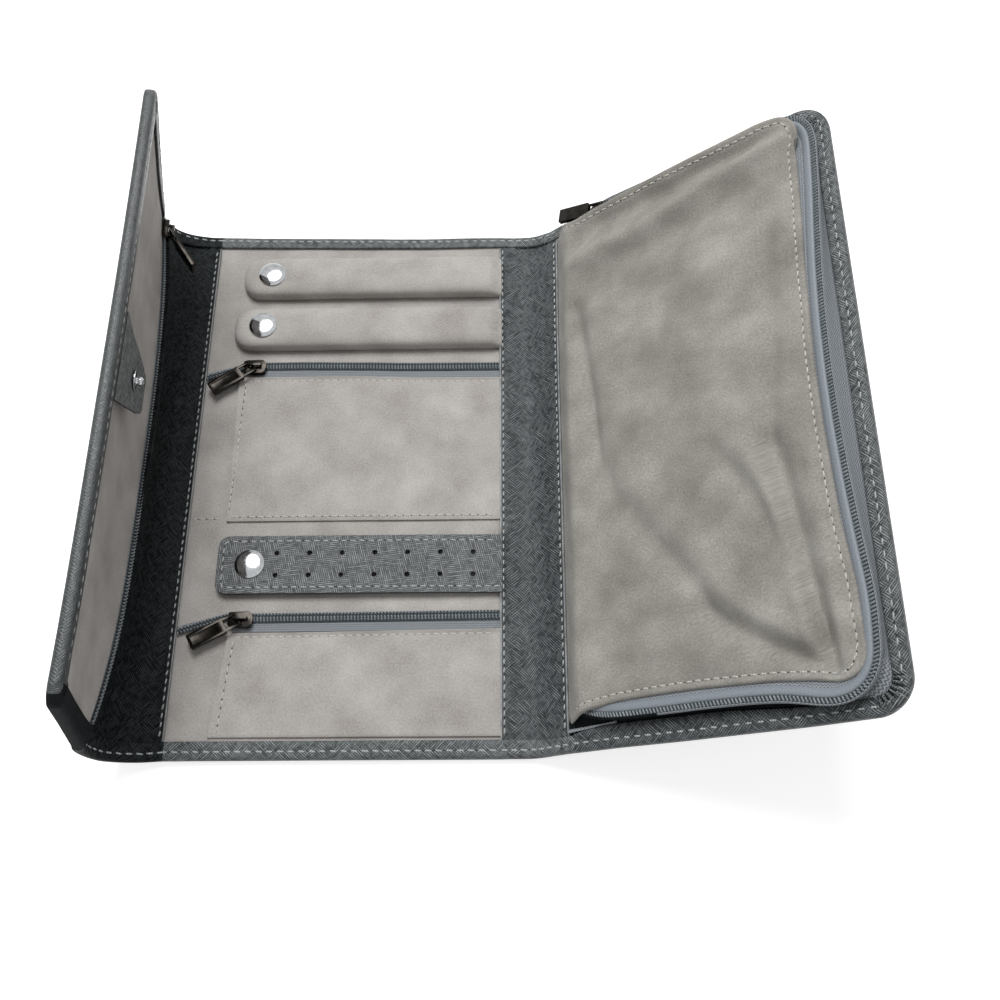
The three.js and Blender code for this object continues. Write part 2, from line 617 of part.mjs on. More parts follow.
function makeFlap() {
  const inner = FLAP_WIDTH - LEATHER - PLAY;
  const corner = FLAP_CORNER - LEATHER - PLAY;
  place(flap, 'flap_cover', hemmedCover(FLAP_WIDTH, FLAP_CORNER), leather);
  place(flap, 'flap_board',
    plate(panelShape(FOLD_SETBACK, inner, INNER_HALF, corner), BOARD_H, BOARD_H + BOARD), board);
  const liningStart = FLAP_ZIP_S + TAPE_HALF + PLAY;
  place(flap, 'flap_lining',
    plate(panelShape(liningStart, inner, INNER_HALF, corner), LINING_H, LINING_TOP), suede);
  const gap = COIL_SPLIT / 2;
  const tapeTop = LINING_H + TAPE;
  const coilZ = [tapeTop + PLAY, tapeTop + PLAY + COIL_HEIGHT];
  const chainHalf = HALF - HEM - PLAY;
  place(flap, 'flap_zip_inner_tape',
    box(FOLD_SETBACK, FLAP_ZIP_S - gap, -INNER_HALF, INNER_HALF, LINING_H, tapeTop), tape);
  place(flap, 'flap_zip_outer_tape',
    box(FLAP_ZIP_S + gap, FLAP_ZIP_S + TAPE_HALF, -INNER_HALF, INNER_HALF, LINING_H, tapeTop), tape);
  place(flap, 'flap_zip_inner_coil',
    box(FLAP_ZIP_S - gap - COIL_WIDTH, FLAP_ZIP_S - gap, -chainHalf, chainHalf, ...coilZ), coil);
  place(flap, 'flap_zip_outer_coil',
    box(FLAP_ZIP_S + gap, FLAP_ZIP_S + gap + COIL_WIDTH, -chainHalf, chainHalf, ...coilZ), coil);
  const frame = zipFrame(flap, FLAP_ZIP_S, -FLAP_SLIDER_Y, tapeTop, -90);
  sliderWithPuller(frame, 'flap', 0, FLAP_PULLER_SWING);
}

// Closure tab, sewn under the hem's inner edge, with its stud.
const TAB_ROOT_S = FLAP_WIDTH - HEM - PLAY;
const TAB_H = LINING_TOP + PLAY;

function makeTab() {
  const root = new THREE.Group();
  root.position.set(TAB_ROOT_S, -TAB_Y, TAB_H);
  root.rotation.y = radians(TAB_STAND);
  flap.add(root);
  const shape = new THREE.Shape();
  const tip = -TAB_LENGTH;
  const tipHalf = TAB_TIP_WIDTH / 2;
  shape.moveTo(0, -TAB_ROOT_WIDTH / 2);
  shape.lineTo(0, TAB_ROOT_WIDTH / 2);
  shape.lineTo(tip + TAB_CORNER, tipHalf);
  shape.quadraticCurveTo(tip, tipHalf - 1, tip, tipHalf - TAB_CORNER);
  shape.lineTo(tip, -tipHalf + TAB_CORNER);
  shape.quadraticCurveTo(tip, -tipHalf + 1, tip + TAB_CORNER, -tipHalf);
  shape.closePath();
  place(root, 'closure_tab', plate(shape, 0, LEATHER, 4), leather);
  const male = place(root, 'closure_stud', stud(), chrome);
  male.position.set(-TAB_STUD_FROM_ROOT, 0, LEATHER + SNAP_SEAT);
}

// Case

// A strip that follows the case's three free edges between two insets, from a start on the far
// and near sides, as a solid between z0 and z1. Its corners are offsets of the chain's corner.
function rimStrip(insetOut, insetIn, farStart, nearStart, z0, z1) {
  const rim = (inset, x0, low, high) => toSolid(plate(
    panelShape(x0, CASE_WIDTH - inset, HALF - inset, CHAIN_CORNER + CHAIN_INSET - inset), low, high, 8));
  const farCut = toSolid(box(-5, farStart, 0, HALF + 5, z0 - 1, z1 + 1));
  const nearCut = toSolid(box(-5, nearStart, -HALF - 5, 0, z0 - 1, z1 + 1));
  return rim(insetOut, -1, z0, z1).subtract(rim(insetIn, -2, z0 - 1, z1 + 1))
    .subtract(farCut).subtract(nearCut);
}

const GUSSET_TOP = HEM_H + GUSSET_HEIGHT;
const CHAIN_H = GUSSET_TOP + PLAY;

function makeCase() {
  const inner = CASE_WIDTH - LEATHER - PLAY;
  const corner = CASE_CORNER - LEATHER - PLAY;
  place(caseBack, 'case_cover', hemmedCover(CASE_WIDTH, CASE_CORNER), leather);
  place(caseBack, 'case_board',
    plate(panelShape(FOLD_SETBACK, inner, INNER_HALF, corner), BOARD_H, BOARD_H + BOARD), board);
  place(caseBack, 'case_lining',
    plate(panelShape(FOLD_SETBACK, inner, INNER_HALF, corner), LINING_H, LINING_TOP), suede);
  const rootHalf = HALF - DOOR_END_INSET;
  const root = box(FOLD_SETBACK + PLAY, DOOR_HINGE_S + SUEDE, -rootHalf, rootHalf, HEM_H, GUSSET_TOP);
  place(caseBack, 'case_root_gusset', root, suede);
  const start = CASE_CHAIN_START;
  const wallOut = HEM + PLAY;
  const wallIn = wallOut + TAPE;
  const coilOut = CHAIN_INSET - CHAIN_HALF;
  const coilIn = CHAIN_INSET + COIL_SPLIT / 2;
  const coilTop = CHAIN_H + COIL_HEIGHT;
  const wall = rimStrip(wallOut, wallIn, start, start, HEM_H, GUSSET_TOP);
  const flange = rimStrip(coilOut, wallIn, start, start, GUSSET_TOP - TAPE, GUSSET_TOP);
  place(caseBack, 'case_gusset_tape', toGeometry(wall.add(flange)), tape);
  const outerCoil = rimStrip(coilOut, coilOut + COIL_WIDTH, start, start, CHAIN_H, coilTop);
  place(caseBack, 'case_coil', toGeometry(outerCoil), coil);
  const doorCoil = rimStrip(coilIn, coilIn + COIL_WIDTH, DOOR_CHAIN_START, start, CHAIN_H, coilTop);
  place(caseBack, 'case_door_coil', toGeometry(doorCoil), coil);
  const frame = zipFrame(caseBack, CASE_SLIDER_S, HALF - CHAIN_INSET, GUSSET_TOP, 180);
  sliderWithPuller(frame, 'case', CASE_PULLER_YAW, 180);
  const closedX = -FOLD_X + TAB_ROOT_S - TAB_STUD_FROM_ROOT;
  const female = place(caseBack, 'closure_socket', socket(SOCKET_HEIGHT, SOCKET_FLOOR), chrome);
  female.rotation.x = Math.PI;
  female.position.set(FOLD_X - closedX, TAB_Y, -SNAP_SEAT);
}

// Door: one suede panel with a crown and its main folds, and the zip tape sewn under its edge.
const DOOR_EDGE_H = GUSSET_TOP + PLAY;

// Each fold runs from one point to another, with its half width and its height.
const DOOR_FOLDS = [
  [12, 96, 104, 104, 5, 0.5], [14, 90, 26, -10, 5, -0.6], [60, 0, 108, -98, 7, -0.8],
  [30, -60, 106, -94, 6, 0.5], [84, -20, 100, -100, 5, -0.6],
];

function doorFold(x, y, [fromX, fromY, toX, toY, width, height]) {
  const along = new THREE.Vector2(toX - fromX, toY - fromY);
  const length = along.length();
  along.normalize();
  const reach = (x - fromX) * along.x + (y - fromY) * along.y;
  const off = (x - fromX) * along.y - (y - fromY) * along.x;
  const fade = Math.max(0, Math.sin(Math.PI * THREE.MathUtils.clamp(reach / length, 0, 1)));
  return height * fade * Math.exp(-((off / width) ** 2));
}

function doorTop(x, y, edge) {
  const inward = Math.min(1, edge / DOOR_SHOULDER);
  const crown = DOOR_CROWN * Math.sin((Math.PI / 2) * inward) ** 0.8;
  const folds = DOOR_FOLDS.reduce((sum, fold) => sum + doorFold(x, y, fold), 0);
  return DOOR_EDGE_H + DOOR_SUEDE + crown + folds * inward;
}

function doorPanel() {
  const x0 = DOOR_HINGE_S;
  const x1 = CASE_WIDTH - DOOR_INSET;
  const half = HALF - DOOR_END_INSET;
  const columns = 20;
  const rows = 26;
  const halfAt = (x) => {
    const into = Math.max(0, x - (x1 - DOOR_CORNER));
    return half - DOOR_CORNER + Math.sqrt(Math.max(0, DOOR_CORNER ** 2 - into ** 2));
  };
  const stationX = (i) => {
    const t = i / columns;
    return x0 + (x1 - x0) * (t - 0.05 * Math.sin(2 * Math.PI * t));
  };
  const stationY = (j) => {
    const t = (2 * j) / rows - 1;
    return t + 0.096 * Math.sin(Math.PI * t);
  };
  const positions = [];
  for (const face of [1, 0]) {
    for (let i = 0; i <= columns; i += 1) {
      const x = stationX(i);
      const halfHere = halfAt(x);
      for (let j = 0; j <= rows; j += 1) {
        const y = halfHere * stationY(j);
        const edge = Math.min(x - x0, x1 - x, halfHere - Math.abs(y));
        positions.push(x, y, doorTop(x, y, edge) - (face ? 0 : DOOR_SUEDE));
      }
    }
  }
  const stride = rows + 1;
  const under = (columns + 1) * stride;
  const index = [];
  for (let i = 0; i < columns; i += 1) {
    for (let j = 0; j < rows; j += 1) {
      const a = i * stride + j;
      const b = a + stride;
      index.push(a, b, b + 1, a, b + 1, a + 1);
      index.push(under + a, under + b + 1, under + b, under + a, under + a + 1, under + b + 1);
    }
  }
  const rim = [];
  for (let i = 0; i < columns; i += 1) rim.push(i * stride);
  for (let j = 0; j < rows; j += 1) rim.push(columns * stride + j);
  for (let i = columns; i > 0; i -= 1) rim.push(i * stride + rows);
  for (let j = rows; j > 0; j -= 1) rim.push(j);
  rim.forEach((a, k) => {
    const b = rim[(k + 1) % rim.length];
    index.push(a, under + a, under + b, a, under + b, b);
  });
  const geometry = new THREE.BufferGeometry();
  geometry.setAttribute('position', new THREE.BufferAttribute(new Float32Array(positions), 3));
  geometry.setIndex(index);
  return geometry;
}

function makeDoor() {
  place(caseBack, 'case_door_panel', doorPanel(), doorSuede);
  const tapeOut = HEM + PLAY + TAPE + PLAY;
  const tapeIn = DOOR_INSET + 2;
  const base = GUSSET_TOP - TAPE;
  const strip = rimStrip(tapeOut, tapeIn, DOOR_CHAIN_START, CASE_CHAIN_START, base, GUSSET_TOP);
  place(caseBack, 'case_door_tape', toGeometry(strip), tape);
}

makeMiddle();
makeRingBar('ring_bar_upper', UPPER_BAR_LEFT, UPPER_BAR_Y);
makeRingBar('ring_bar_lower', LOWER_BAR_LEFT, LOWER_BAR_Y);
makeStrap();
makePocketZip('upper', UPPER_ZIP_Y, UPPER_SLIDER_X, UPPER_PULLER_YAW);
makePocketZip('lower', LOWER_ZIP_Y, LOWER_SLIDER_X, LOWER_PULLER_YAW);
makePocketPanel('upper', UPPER_POCKET_LEFT, UPPER_ZIP_Y, UPPER_POCKET_BOTTOM);
makePocketPanel('lower', LOWER_POCKET_LEFT, LOWER_ZIP_Y, -HALF + HEM + PLAY);
makeSpine(leftSpine, 'left_spine', LEFT_SPINE);
makeSpine(rightSpine, 'right_spine', RIGHT_SPINE);
makeFlap();
makeTab();
makeCase();
makeDoor();

export default organizer;
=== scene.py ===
import math
import random

import bmesh
import bpy
import numpy as np
from mathutils import Matrix, Vector, noise


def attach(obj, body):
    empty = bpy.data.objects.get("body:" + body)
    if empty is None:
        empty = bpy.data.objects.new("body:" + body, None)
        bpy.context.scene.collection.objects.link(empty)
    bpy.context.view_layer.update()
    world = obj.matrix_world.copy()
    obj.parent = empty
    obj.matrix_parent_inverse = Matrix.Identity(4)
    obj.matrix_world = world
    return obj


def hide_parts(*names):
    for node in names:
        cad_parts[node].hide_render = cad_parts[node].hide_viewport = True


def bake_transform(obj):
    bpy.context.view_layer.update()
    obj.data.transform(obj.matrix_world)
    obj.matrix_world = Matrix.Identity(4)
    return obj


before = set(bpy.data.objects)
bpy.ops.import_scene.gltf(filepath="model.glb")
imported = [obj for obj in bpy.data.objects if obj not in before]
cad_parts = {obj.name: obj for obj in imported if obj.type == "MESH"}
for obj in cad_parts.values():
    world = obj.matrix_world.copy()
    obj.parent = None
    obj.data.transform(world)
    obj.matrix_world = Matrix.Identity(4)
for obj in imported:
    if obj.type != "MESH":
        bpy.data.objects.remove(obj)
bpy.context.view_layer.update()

MM = 0.001

# Sizes of the organizer: half its length, and the folds and free edges from its middle line
HALF = 117.5
FOLD = 67.0
RIGHT_SPINE = 23.0
LEFT_SPINE = 32.0
CASE_FOLD = FOLD + RIGHT_SPINE
FLAP_FOLD = FOLD + LEFT_SPINE
CASE_EDGE = CASE_FOLD + 124.0
FLAP_EDGE = FLAP_FOLD + 72.0
CASE_CORNER = 12.0
FLAP_CORNER = 7.0
FLAP_ZIP = FLAP_FOLD + 6.2
# Widths of the turned hems, and the height of a hem's underside on a panel and on a spine
HEM = 8.0
FAR_HEM = 6.1
NEAR_HEM = 6.9
CASE_HEM = 5.9
HEM_H = 3.6
SPINE_HEM_H = 2.6
# Layers of a boarded panel: thickness, and the height of the lower face
LEATHER = 1.0
BOARD, BOARD_UNDER = 1.0, 1.3
SUEDE, SUEDE_UNDER = 0.7, 2.6
LINING_END = 116.2
# Where the middle's cover meets the spines' covers, and a panel's cover its spine's
SEAM = 63.0
PANEL_START = 4.0
# Where the bars, the strap and the pockets run in under the right band
BAND_EDGE = 63.2


def smooth(low, high, value):
    """Rises gently from 0 at low to 1 at high."""
    share = min(1.0, max(0.0, (value - low) / (high - low)))
    return share * share * (3 - 2 * share)


def blend_list(points, value):
    """Straight-line reading of a list of (place, amount) pairs."""
    return float(np.interp(value, [p[0] for p in points], [p[1] for p in points]))


def stations(low, high, count):
    """Even places from low to high."""
    return [float(v) for v in np.linspace(low, high, count)]


def ripple(a, b, scale, seed=0.0):
    """Soft noise between about -1 and 1 whose lumps are scale millimetres across."""
    return noise.noise(Vector((a / scale, b / scale, seed)))


# Camera: the photograph's angle, with a 40 mm lens. Its place is in millimetres, its turns in degrees.
CAMERA_AT = (70.4, -191.6, 412.5)
CAMERA_PITCH = 66.52
CAMERA_YAW = -2.6
CAMERA_ROLL = -2.97
CAMERA_LENS = 39.75


def make_camera():
    pitch, yaw = math.radians(CAMERA_PITCH), math.radians(CAMERA_YAW)
    ahead = Vector((
        math.sin(yaw) * math.cos(pitch), math.cos(yaw) * math.cos(pitch), -math.sin(pitch)))
    right = ahead.cross(Vector((0, 0, 1))).normalized()
    up = right.cross(ahead)
    turn = Matrix.Rotation(math.radians(-CAMERA_ROLL), 3, ahead)
    right, up = turn @ right, turn @ up
    data = bpy.data.cameras.new("view")
    data.lens = CAMERA_LENS
    data.sensor_width = 36
    data.clip_start = 0.01
    data.clip_end = 20
    camera = bpy.data.objects.new("view", data)
    bpy.context.scene.collection.objects.link(camera)
    axes = Matrix((right, up, -ahead)).transposed().to_4x4()
    camera.matrix_world = Matrix.Translation(Vector(CAMERA_AT) * MM) @ axes
    bpy.context.scene.camera = camera


# Finishes


def linear(code):
    """An sRGB hex value as linear colour, with full alpha."""
    channels = [int(code[i:i + 2], 16) / 255 for i in (0, 2, 4)]
    return [c / 12.92 if c <= 0.04045 else ((c + 0.055) / 1.055) ** 2.4 for c in channels] + [1.0]


def add(tree, kind, *values, **named):
    """One node. Its inputs come in order or by capitalised name, each a plain value, a socket or
    a node that gives its first output. Its settings have lower-case names, and stops are a
    ramp's (place, hex) pairs."""
    node = tree.nodes.new("ShaderNode" + kind)
    inputs = [(node.inputs[k], value) for k, value in enumerate(values)]
    for key, value in named.items():
        if key[0].isupper():
            inputs.append((node.inputs[key.replace("_", " ")], value))
        elif key == "stops":
            elements = node.color_ramp.elements
            while len(elements) < len(value):
                elements.new(0.5)
            for element, (place, code) in zip(elements, value):
                element.position = place
                element.color = linear(code)
        else:
            setattr(node, key, value)
    for socket, value in inputs:
        if isinstance(value, bpy.types.Node):
            value = value.outputs[0]
        if isinstance(value, bpy.types.NodeSocket):
            tree.links.new(value, socket)
        else:
            socket.default_value = value
    return node


def finish(name, rough, **values):
    """A material, its tree and its shader, whose plain values are given by socket name."""
    material = bpy.data.materials.new(name)
    material.use_nodes = True
    shader = material.node_tree.nodes["Principled BSDF"]
    for key, value in {"Roughness": rough, **values}.items():
        shader.inputs[key.replace("_", " ")].default_value = value
    return material, material.node_tree, shader


def colour_and_relief(tree, shader, tone, stops, height=None, depth=0.0):
    """Colours the surface by tone and raises it where height is 1 by depth millimetres."""
    tree.links.new(add(tree, "ValToRGB", tone, stops=stops).outputs[0], shader.inputs["Base Color"])
    if depth:
        bump = add(tree, "Bump", Height=height or tone, Distance=depth * MM, Strength=1.0)
        tree.links.new(bump.outputs[0], shader.inputs["Normal"])


def cut_lines(tree, turn=0.0, along=0.0):
    """Millimetres along the cut piece, from its flat layout."""
    flat = add(tree, "UVMap", uv_map="cut")
    return add(tree, "Mapping", flat, Scale=(1 / MM, 1 / MM, 1), Rotation=(0, 0, math.radians(turn)),
               Location=(along, 0, 0))


def place_lines(tree):
    """Millimetres in the organizer's own frame."""
    here = add(tree, "TexCoord").outputs["Object"]
    return add(tree, "Mapping", here, Scale=(1 / MM, 1 / MM, 1 / MM))


def flecked(name, dark, light, size, detail=2, spread=0.5, rough=0.5, haze=None, grain=None,
            depth=0.0, lines=place_lines, **values):
    """A finish that wanders between two tones in lumps about size millimetres across. Haze is the
    range of its roughness, and grain the size of its relief where that isn't the lumps' own."""
    material, tree, shader = finish(name, rough, **values)
    tone = add(tree, "TexNoise", Vector=lines(tree), Scale=1 / size, Detail=detail, Roughness=spread)
    height = add(tree, "TexNoise", Vector=lines(tree), Scale=1 / grain) if grain else tone
    colour_and_relief(tree, shader, tone, ((0.3, dark), (0.7, light)), height, depth)
    if haze:
        clouded = add(tree, "MapRange", tone, To_Min=haze[0], To_Max=haze[1])
        tree.links.new(clouded.outputs[0], shader.inputs["Roughness"])
    return material


def pressed_strokes(tree, turn, along):
    """Straight ridges pressed in one direction, 0.8 mm apart, that break off and start again."""
    lines = cut_lines(tree, turn, along)
    band = add(tree, "TexWave", Vector=lines, Scale=math.pi / 10 / 0.8, Distortion=0.35, Detail=2,
               Detail_Scale=0.5)
    ridge = add(tree, "Math", band.outputs["Fac"], 1.6, operation="POWER")
    long = add(tree, "Mapping", lines, Scale=(1, 0.2, 1))
    parts = add(tree, "TexNoise", Vector=long, Scale=1 / 0.9, Detail=2, Roughness=0.6)
    shown = add(tree, "MapRange", parts, From_Min=0.3, From_Max=0.6)
    return add(tree, "Math", ridge, shown, operation="MULTIPLY")


def grained_leather(name, dark, mid, light, turns=(43, -46), gloss=0.35, rough=0.5):
    """Saffiano: split leather pressed with a cross-hatched plate and lacquered. The plate leaves
    short bright ridges that cross at a steep angle, and in each patch of the hide one of the two
    directions is deeper. The real pitch is 0.65 mm; it is drawn at 0.8 mm so that it shows."""
    material, tree, shader = finish(name, rough, IOR=1.5, Specular_IOR_Level=gloss)
    hide = cut_lines(tree)
    patches = add(tree, "TexNoise", Vector=hide, Scale=1 / 6, Detail=3)
    patch = add(tree, "MapRange", patches, From_Min=0.4, From_Max=0.6)
    both = []
    for turn, along, slope, level in ((turns[0], 0, 0.6, 0.4), (turns[1], 7, -0.6, 1.0)):
        share = add(tree, "Math", patch, slope, level, operation="MULTIPLY_ADD")
        both.append(add(tree, "Math", pressed_strokes(tree, turn, along), share, operation="MULTIPLY"))
    strokes = add(tree, "Math", *both, operation="MAXIMUM")
    mottle = add(tree, "TexNoise", Vector=hide, Scale=1 / 9, Detail=6, Roughness=0.8)
    shade = add(tree, "Math", mottle, 0.4, operation="MULTIPLY")
    tone = add(tree, "Math", strokes, 0.72, shade, operation="MULTIPLY_ADD")
    colour_and_relief(tree, shader, tone, ((0.14, dark), (0.36, mid), (0.85, light)), strokes, 0.12)
    return material


def suede(name, dark, mid, light):
    """Microsuede: brushed polyester nap. Its fibres turn a little lighter or darker in soft
    patches and as a fine speckle, and their tips catch a faint edge light. The fibres are far
    finer than the speckle, which is drawn at 0.8 mm so that it shows."""
    material, tree, shader = finish(name, 0.92, IOR=1.45, Specular_IOR_Level=0.2, Sheen_Weight=0.12,
                                    Sheen_Roughness=0.5)
    here = cut_lines(tree)
    patches = add(tree, "TexNoise", Vector=here, Scale=1 / 21, Detail=3, Roughness=0.55)
    nap = add(tree, "TexNoise", Vector=here, Scale=1 / 0.8, Detail=3, Roughness=0.75)
    half = add(tree, "Math", nap, 0.5, operation="MULTIPLY")
    tone = add(tree, "Math", patches, 0.5, half, operation="MULTIPLY_ADD")
    colour_and_relief(tree, shader, tone, ((0.33, dark), (0.5, mid), (0.67, light)), nap, 0.14)
    return material


def zip_tape():
    """Woven polyester zip tape: a herringbone whose 0.5 mm ribs turn every 1.2 mm, drawn at
    0.9 mm so that it shows, in a lavender-grey yarn that is a little lighter on the ribs."""
    material, tree, shader = finish("zip_tape_weave", 0.75, Specular_IOR_Level=0.3)
    here = cut_lines(tree)
    across, along = add(tree, "SeparateXYZ", here).outputs[:2]
    zigzag = add(tree, "Math", across, 0.7, operation="PINGPONG")
    phase = add(tree, "Math", zigzag, 0.9, along, operation="MULTIPLY_ADD")
    turns = add(tree, "Math", phase, 2 * math.pi / 0.9, operation="MULTIPLY")
    rib = add(tree, "Math", add(tree, "Math", turns, operation="SINE"), 0.5, 0.5, operation="MULTIPLY_ADD")
    yarn = add(tree, "TexNoise", Vector=here, Scale=1 / 0.7)
    fuzz = add(tree, "Math", yarn, 0.4, operation="MULTIPLY")
    tone = add(tree, "Math", rib, 0.6, fuzz, operation="MULTIPLY_ADD")
    colour_and_relief(tree, shader, tone, ((0.2, "5c6167"), (0.5, "80868b"), (0.85, "a6abaf")), rib, 0.08)
    return material


def sewing_thread(name, dark, light):
    """Bonded polyester thread: two plies twisted every 0.8 mm, with a low silky light."""
    material, tree, shader = finish(name, 0.6)
    twist = add(tree, "TexWave", Vector=place_lines(tree), Scale=math.pi / 10 / 0.8, Distortion=0.5,
                Detail=1.0).outputs["Fac"]
    colour_and_relief(tree, shader, twist, ((0.2, dark), (0.8, light)), depth=0.05)
    return material


LEATHER_FINISH = grained_leather("saffiano_leather", "232627", "45494a", "a3a8aa", gloss=0.22)
STRAP_FINISH = grained_leather("saffiano_strap", "2c3031", "4e5152", "a8acad", (83, -15), 0.22)
# A darker copy of the saffiano, as painted shade on the right spine's inner band and on the case's near hem
CASE_SHADE_LEATHER_FINISH = grained_leather("saffiano_case_spine", "191d1f", "3a3f41", "8b9092", gloss=0.2)
# A darker, glossier copy of the saffiano, as painted shade on the flap's rounded edge and turned hem
FLAP_HEM_SHADE_FINISH = grained_leather("saffiano_flap", "1a1e1f", "2c3132", "565d5f", gloss=0.5, rough=0.36)
# A near-black copy of the saffiano, as painted shade on the flap spine's inner band and on the hems and
# inside of its cover
FLAP_SPINE_SHADE_FINISH = grained_leather("saffiano_flap_spine", "020303", "0b0e0f", "474d4f", gloss=0.06)
# A dark copy of the saffiano that barely reflects, as painted shade on the flap's near hem
FLAP_END_SHADE_FINISH = grained_leather("saffiano_flap_end_painted_shade", "17191a", "222425", "34383a", gloss=0.008,
                                  rough=0.6)
SUEDE_FINISH = suede("lining_microsuede", "958f8b", "aeaaa6", "c4c0bc")
DOOR_SUEDE_FINISH = suede("door_microsuede", "77746e", "93908a", "b0ada7")
TAPE_FINISH = zip_tape()
# The tape's fold over the coil: the same yarn pulled tight round a bend, so it is smoother, a
# shade deeper and has a low silky light along the chain
FOLD_FINISH = flecked("zip_tape_fold", "767d84", "8d949b", 0.6, 3, 0.6, depth=0.03, lines=cut_lines,
                      Specular_IOR_Level=0.4)
# Extruded nylon monofilament, dyed with its tape: smooth, with small bright highlights
COIL_FINISH = flecked("nylon_coil", "7f878c", "9fa6aa", 3, rough=0.34, grain=0.6, depth=0.02, IOR=1.53)
# The knitted core cord inside the coil, dark and matt as painted shade between the teeth
CORE_SHADE_FINISH = flecked("coil_core_painted_shade", "23292c", "363e42", 0.7, 3, rough=0.85)
# Painted shade: a near-black weave on the gusset's lower half along the near side and at its root, where it
# is folded in under the chain, and in the creases of the case's pleated corners
SHADE_FINISH = flecked("gusset_and_pleat_painted_shade", "0a0d0e", "171b1d", 0.8, 3, rough=0.9,
                       Specular_IOR_Level=0.1)
# Die-cast zinc, barrel polished and plated dark nickel: a warm dark mirror, softened by faint
# tumbling marks
GUNMETAL_FINISH = flecked("gunmetal_plate", "242220", "35322f", 2.4, 3, haze=(0.16, 0.28),
                          depth=0.008, Metallic=1.0)
# Stamped brass, nickel and chrome plated: a clear mirror with a trace of handling haze
CHROME_FINISH = flecked("bright_chrome", "a6a9ab", "c2c4c6", 2.5, 3, haze=(0.07, 0.17), Metallic=1.0)
LEATHER_THREAD = sewing_thread("grey_thread", "8f9595", "bcc1c1")
SUEDE_THREAD = sewing_thread("lining_thread", "aaa6a1", "d3d0cb")
DOOR_THREAD = sewing_thread("door_thread", "a5a19a", "cfccc5")
# Painted shade for the needle's holes at both ends of a stitch: a dark disc where the leather or nap is drawn
# down into the hole
NEEDLE_HOLE_SHADE = flecked("needle_hole_painted_shade", "1b1c1c", "2b2b2a", 1.0, rough=0.9)
# Pressed paper board: flat grey-brown with a fine fibre fleck
BOARD_FINISH = flecked("grey_board", "7d776b", "9a9385", 1.2, 4, 0.7, rough=0.9)
# The painted cut edge of doubled leather: acrylic edge paint, smooth. A pale copy of it is a painted
# highlight where the edge turns over the face, and a dark copy is painted shade down the side and in a band's
# pressed groove.
EDGE_HIGHLIGHT_FINISH = flecked("edge_paint_painted_highlight", "75797a", "999d9e", 4)
EDGE_SHADE_FINISH = flecked("edge_paint_painted_shade", "211e20", "373437", 4)

# Shape of the leather at rest


def lengths_along(line):
    """Length from the start of a line to each of its points."""
    return np.concatenate([[0], np.cumsum(np.hypot(*np.diff(line, axis=0).T))])


class Side:
    """One side of the organizer seen from the near end: the middle, a spine and a panel on one
    line, rounded at both folds. Its sign is +1 for the case's side and -1 for the flap's."""

    def __init__(self, sign, spine, spine_angle, panel_angle, easing, sag, lift):
        self.sign = sign
        self.lift = lift
        turn, last = math.radians(spine_angle), math.radians(panel_angle)
        flat = Vector((1, 0))
        along = Vector((math.cos(turn), math.sin(turn)))
        up = Vector((math.cos(last), math.sin(last)))
        first = Vector((FOLD, 0.5))
        second = first + along * spine
        near, far = easing
        points = [Vector((0, 0.5))]
        points += self.corner(first - flat * near, first, first + along * far)
        points += self.corner(second - along * far, second, second + up * near)
        points.append(second + up * 140)
        line = np.array([p[:] for p in points])
        reach = lengths_along(line)
        marks = {0: 0.0, 1: FOLD - near, 21: FOLD + far, 22: FOLD + spine - far,
                 42: FOLD + spine + near, 43: FOLD + spine + 140}
        keys = sorted(marks)
        places = np.interp(reach, [reach[k] for k in keys], [marks[k] for k in keys])
        self.places = np.arange(0, FOLD + spine + 135, 0.5)
        self.x = np.interp(self.places, places, line[:, 0])
        self.z = np.interp(self.places, places, line[:, 1])
        shape = np.clip((self.places - FOLD) / spine, 0, 1)
        drop = sag * np.sin(np.pi * shape ** 0.8) ** 2
        self.x += drop * math.sin(turn)
        self.z -= drop * math.cos(turn)
        kernel = np.ones(5) / 5
        for axis in (self.x, self.z):
            axis[2:-2] = np.convolve(axis, kernel, "valid")
        slope_x, slope_z = np.gradient(self.x), np.gradient(self.z)
        size = np.hypot(slope_x, slope_z)
        self.nx, self.nz = -slope_z / size, slope_x / size

    @staticmethod
    def corner(start, control, end):
        """A fold rounded by a curve of 20 steps."""
        return [start * (1 - u) ** 2 + control * 2 * u * (1 - u) + end * u * u
                for u in [k / 20 for k in range(21)]]

    def __call__(self, t, y, h):
        """The world place, in millimetres, of a point in the panels' own coordinates."""
        rise, shift = self.lift(t, y)
        h = h + rise
        x = np.interp(t, self.places, self.x) + np.interp(t, self.places, self.nx) * (h - 0.5)
        z = np.interp(t, self.places, self.z) + np.interp(t, self.places, self.nz) * (h - 0.5)
        return Vector((self.sign * x, y + shift, z))

    def up(self, t):
        """The way off the leather at t."""
        return Vector((self.sign * np.interp(t, self.places, self.nx), 0,
                       np.interp(t, self.places, self.nz)))


# How far the far end is drawn in, or pushed out, at each distance from the middle line
CASE_FAR_PULL = [(-67, -0.8), (-46, -1.5), (-10, -2.4), (27, -3.2), (60, -3.0), (74, -3.4),
                 (88, -5.4), (100, -5.0), (108, -3.8), (117, -2.0), (131, -1.6), (150, -0.8),
                 (190, 0), (214, 0)]
FLAP_FAR_PULL = [(63, -0.8), (70, -1.4), (84, -1.6), (99, -1.8), (112, -1.6), (130, -0.4),
                 (150, 1.4), (171, 3.0)]
FLAP_NEAR_PUSH = [(63, 0), (72, -0.9), (85, -1.6), (97, -1.3), (110, -0.6), (140, 0), (171, 0)]


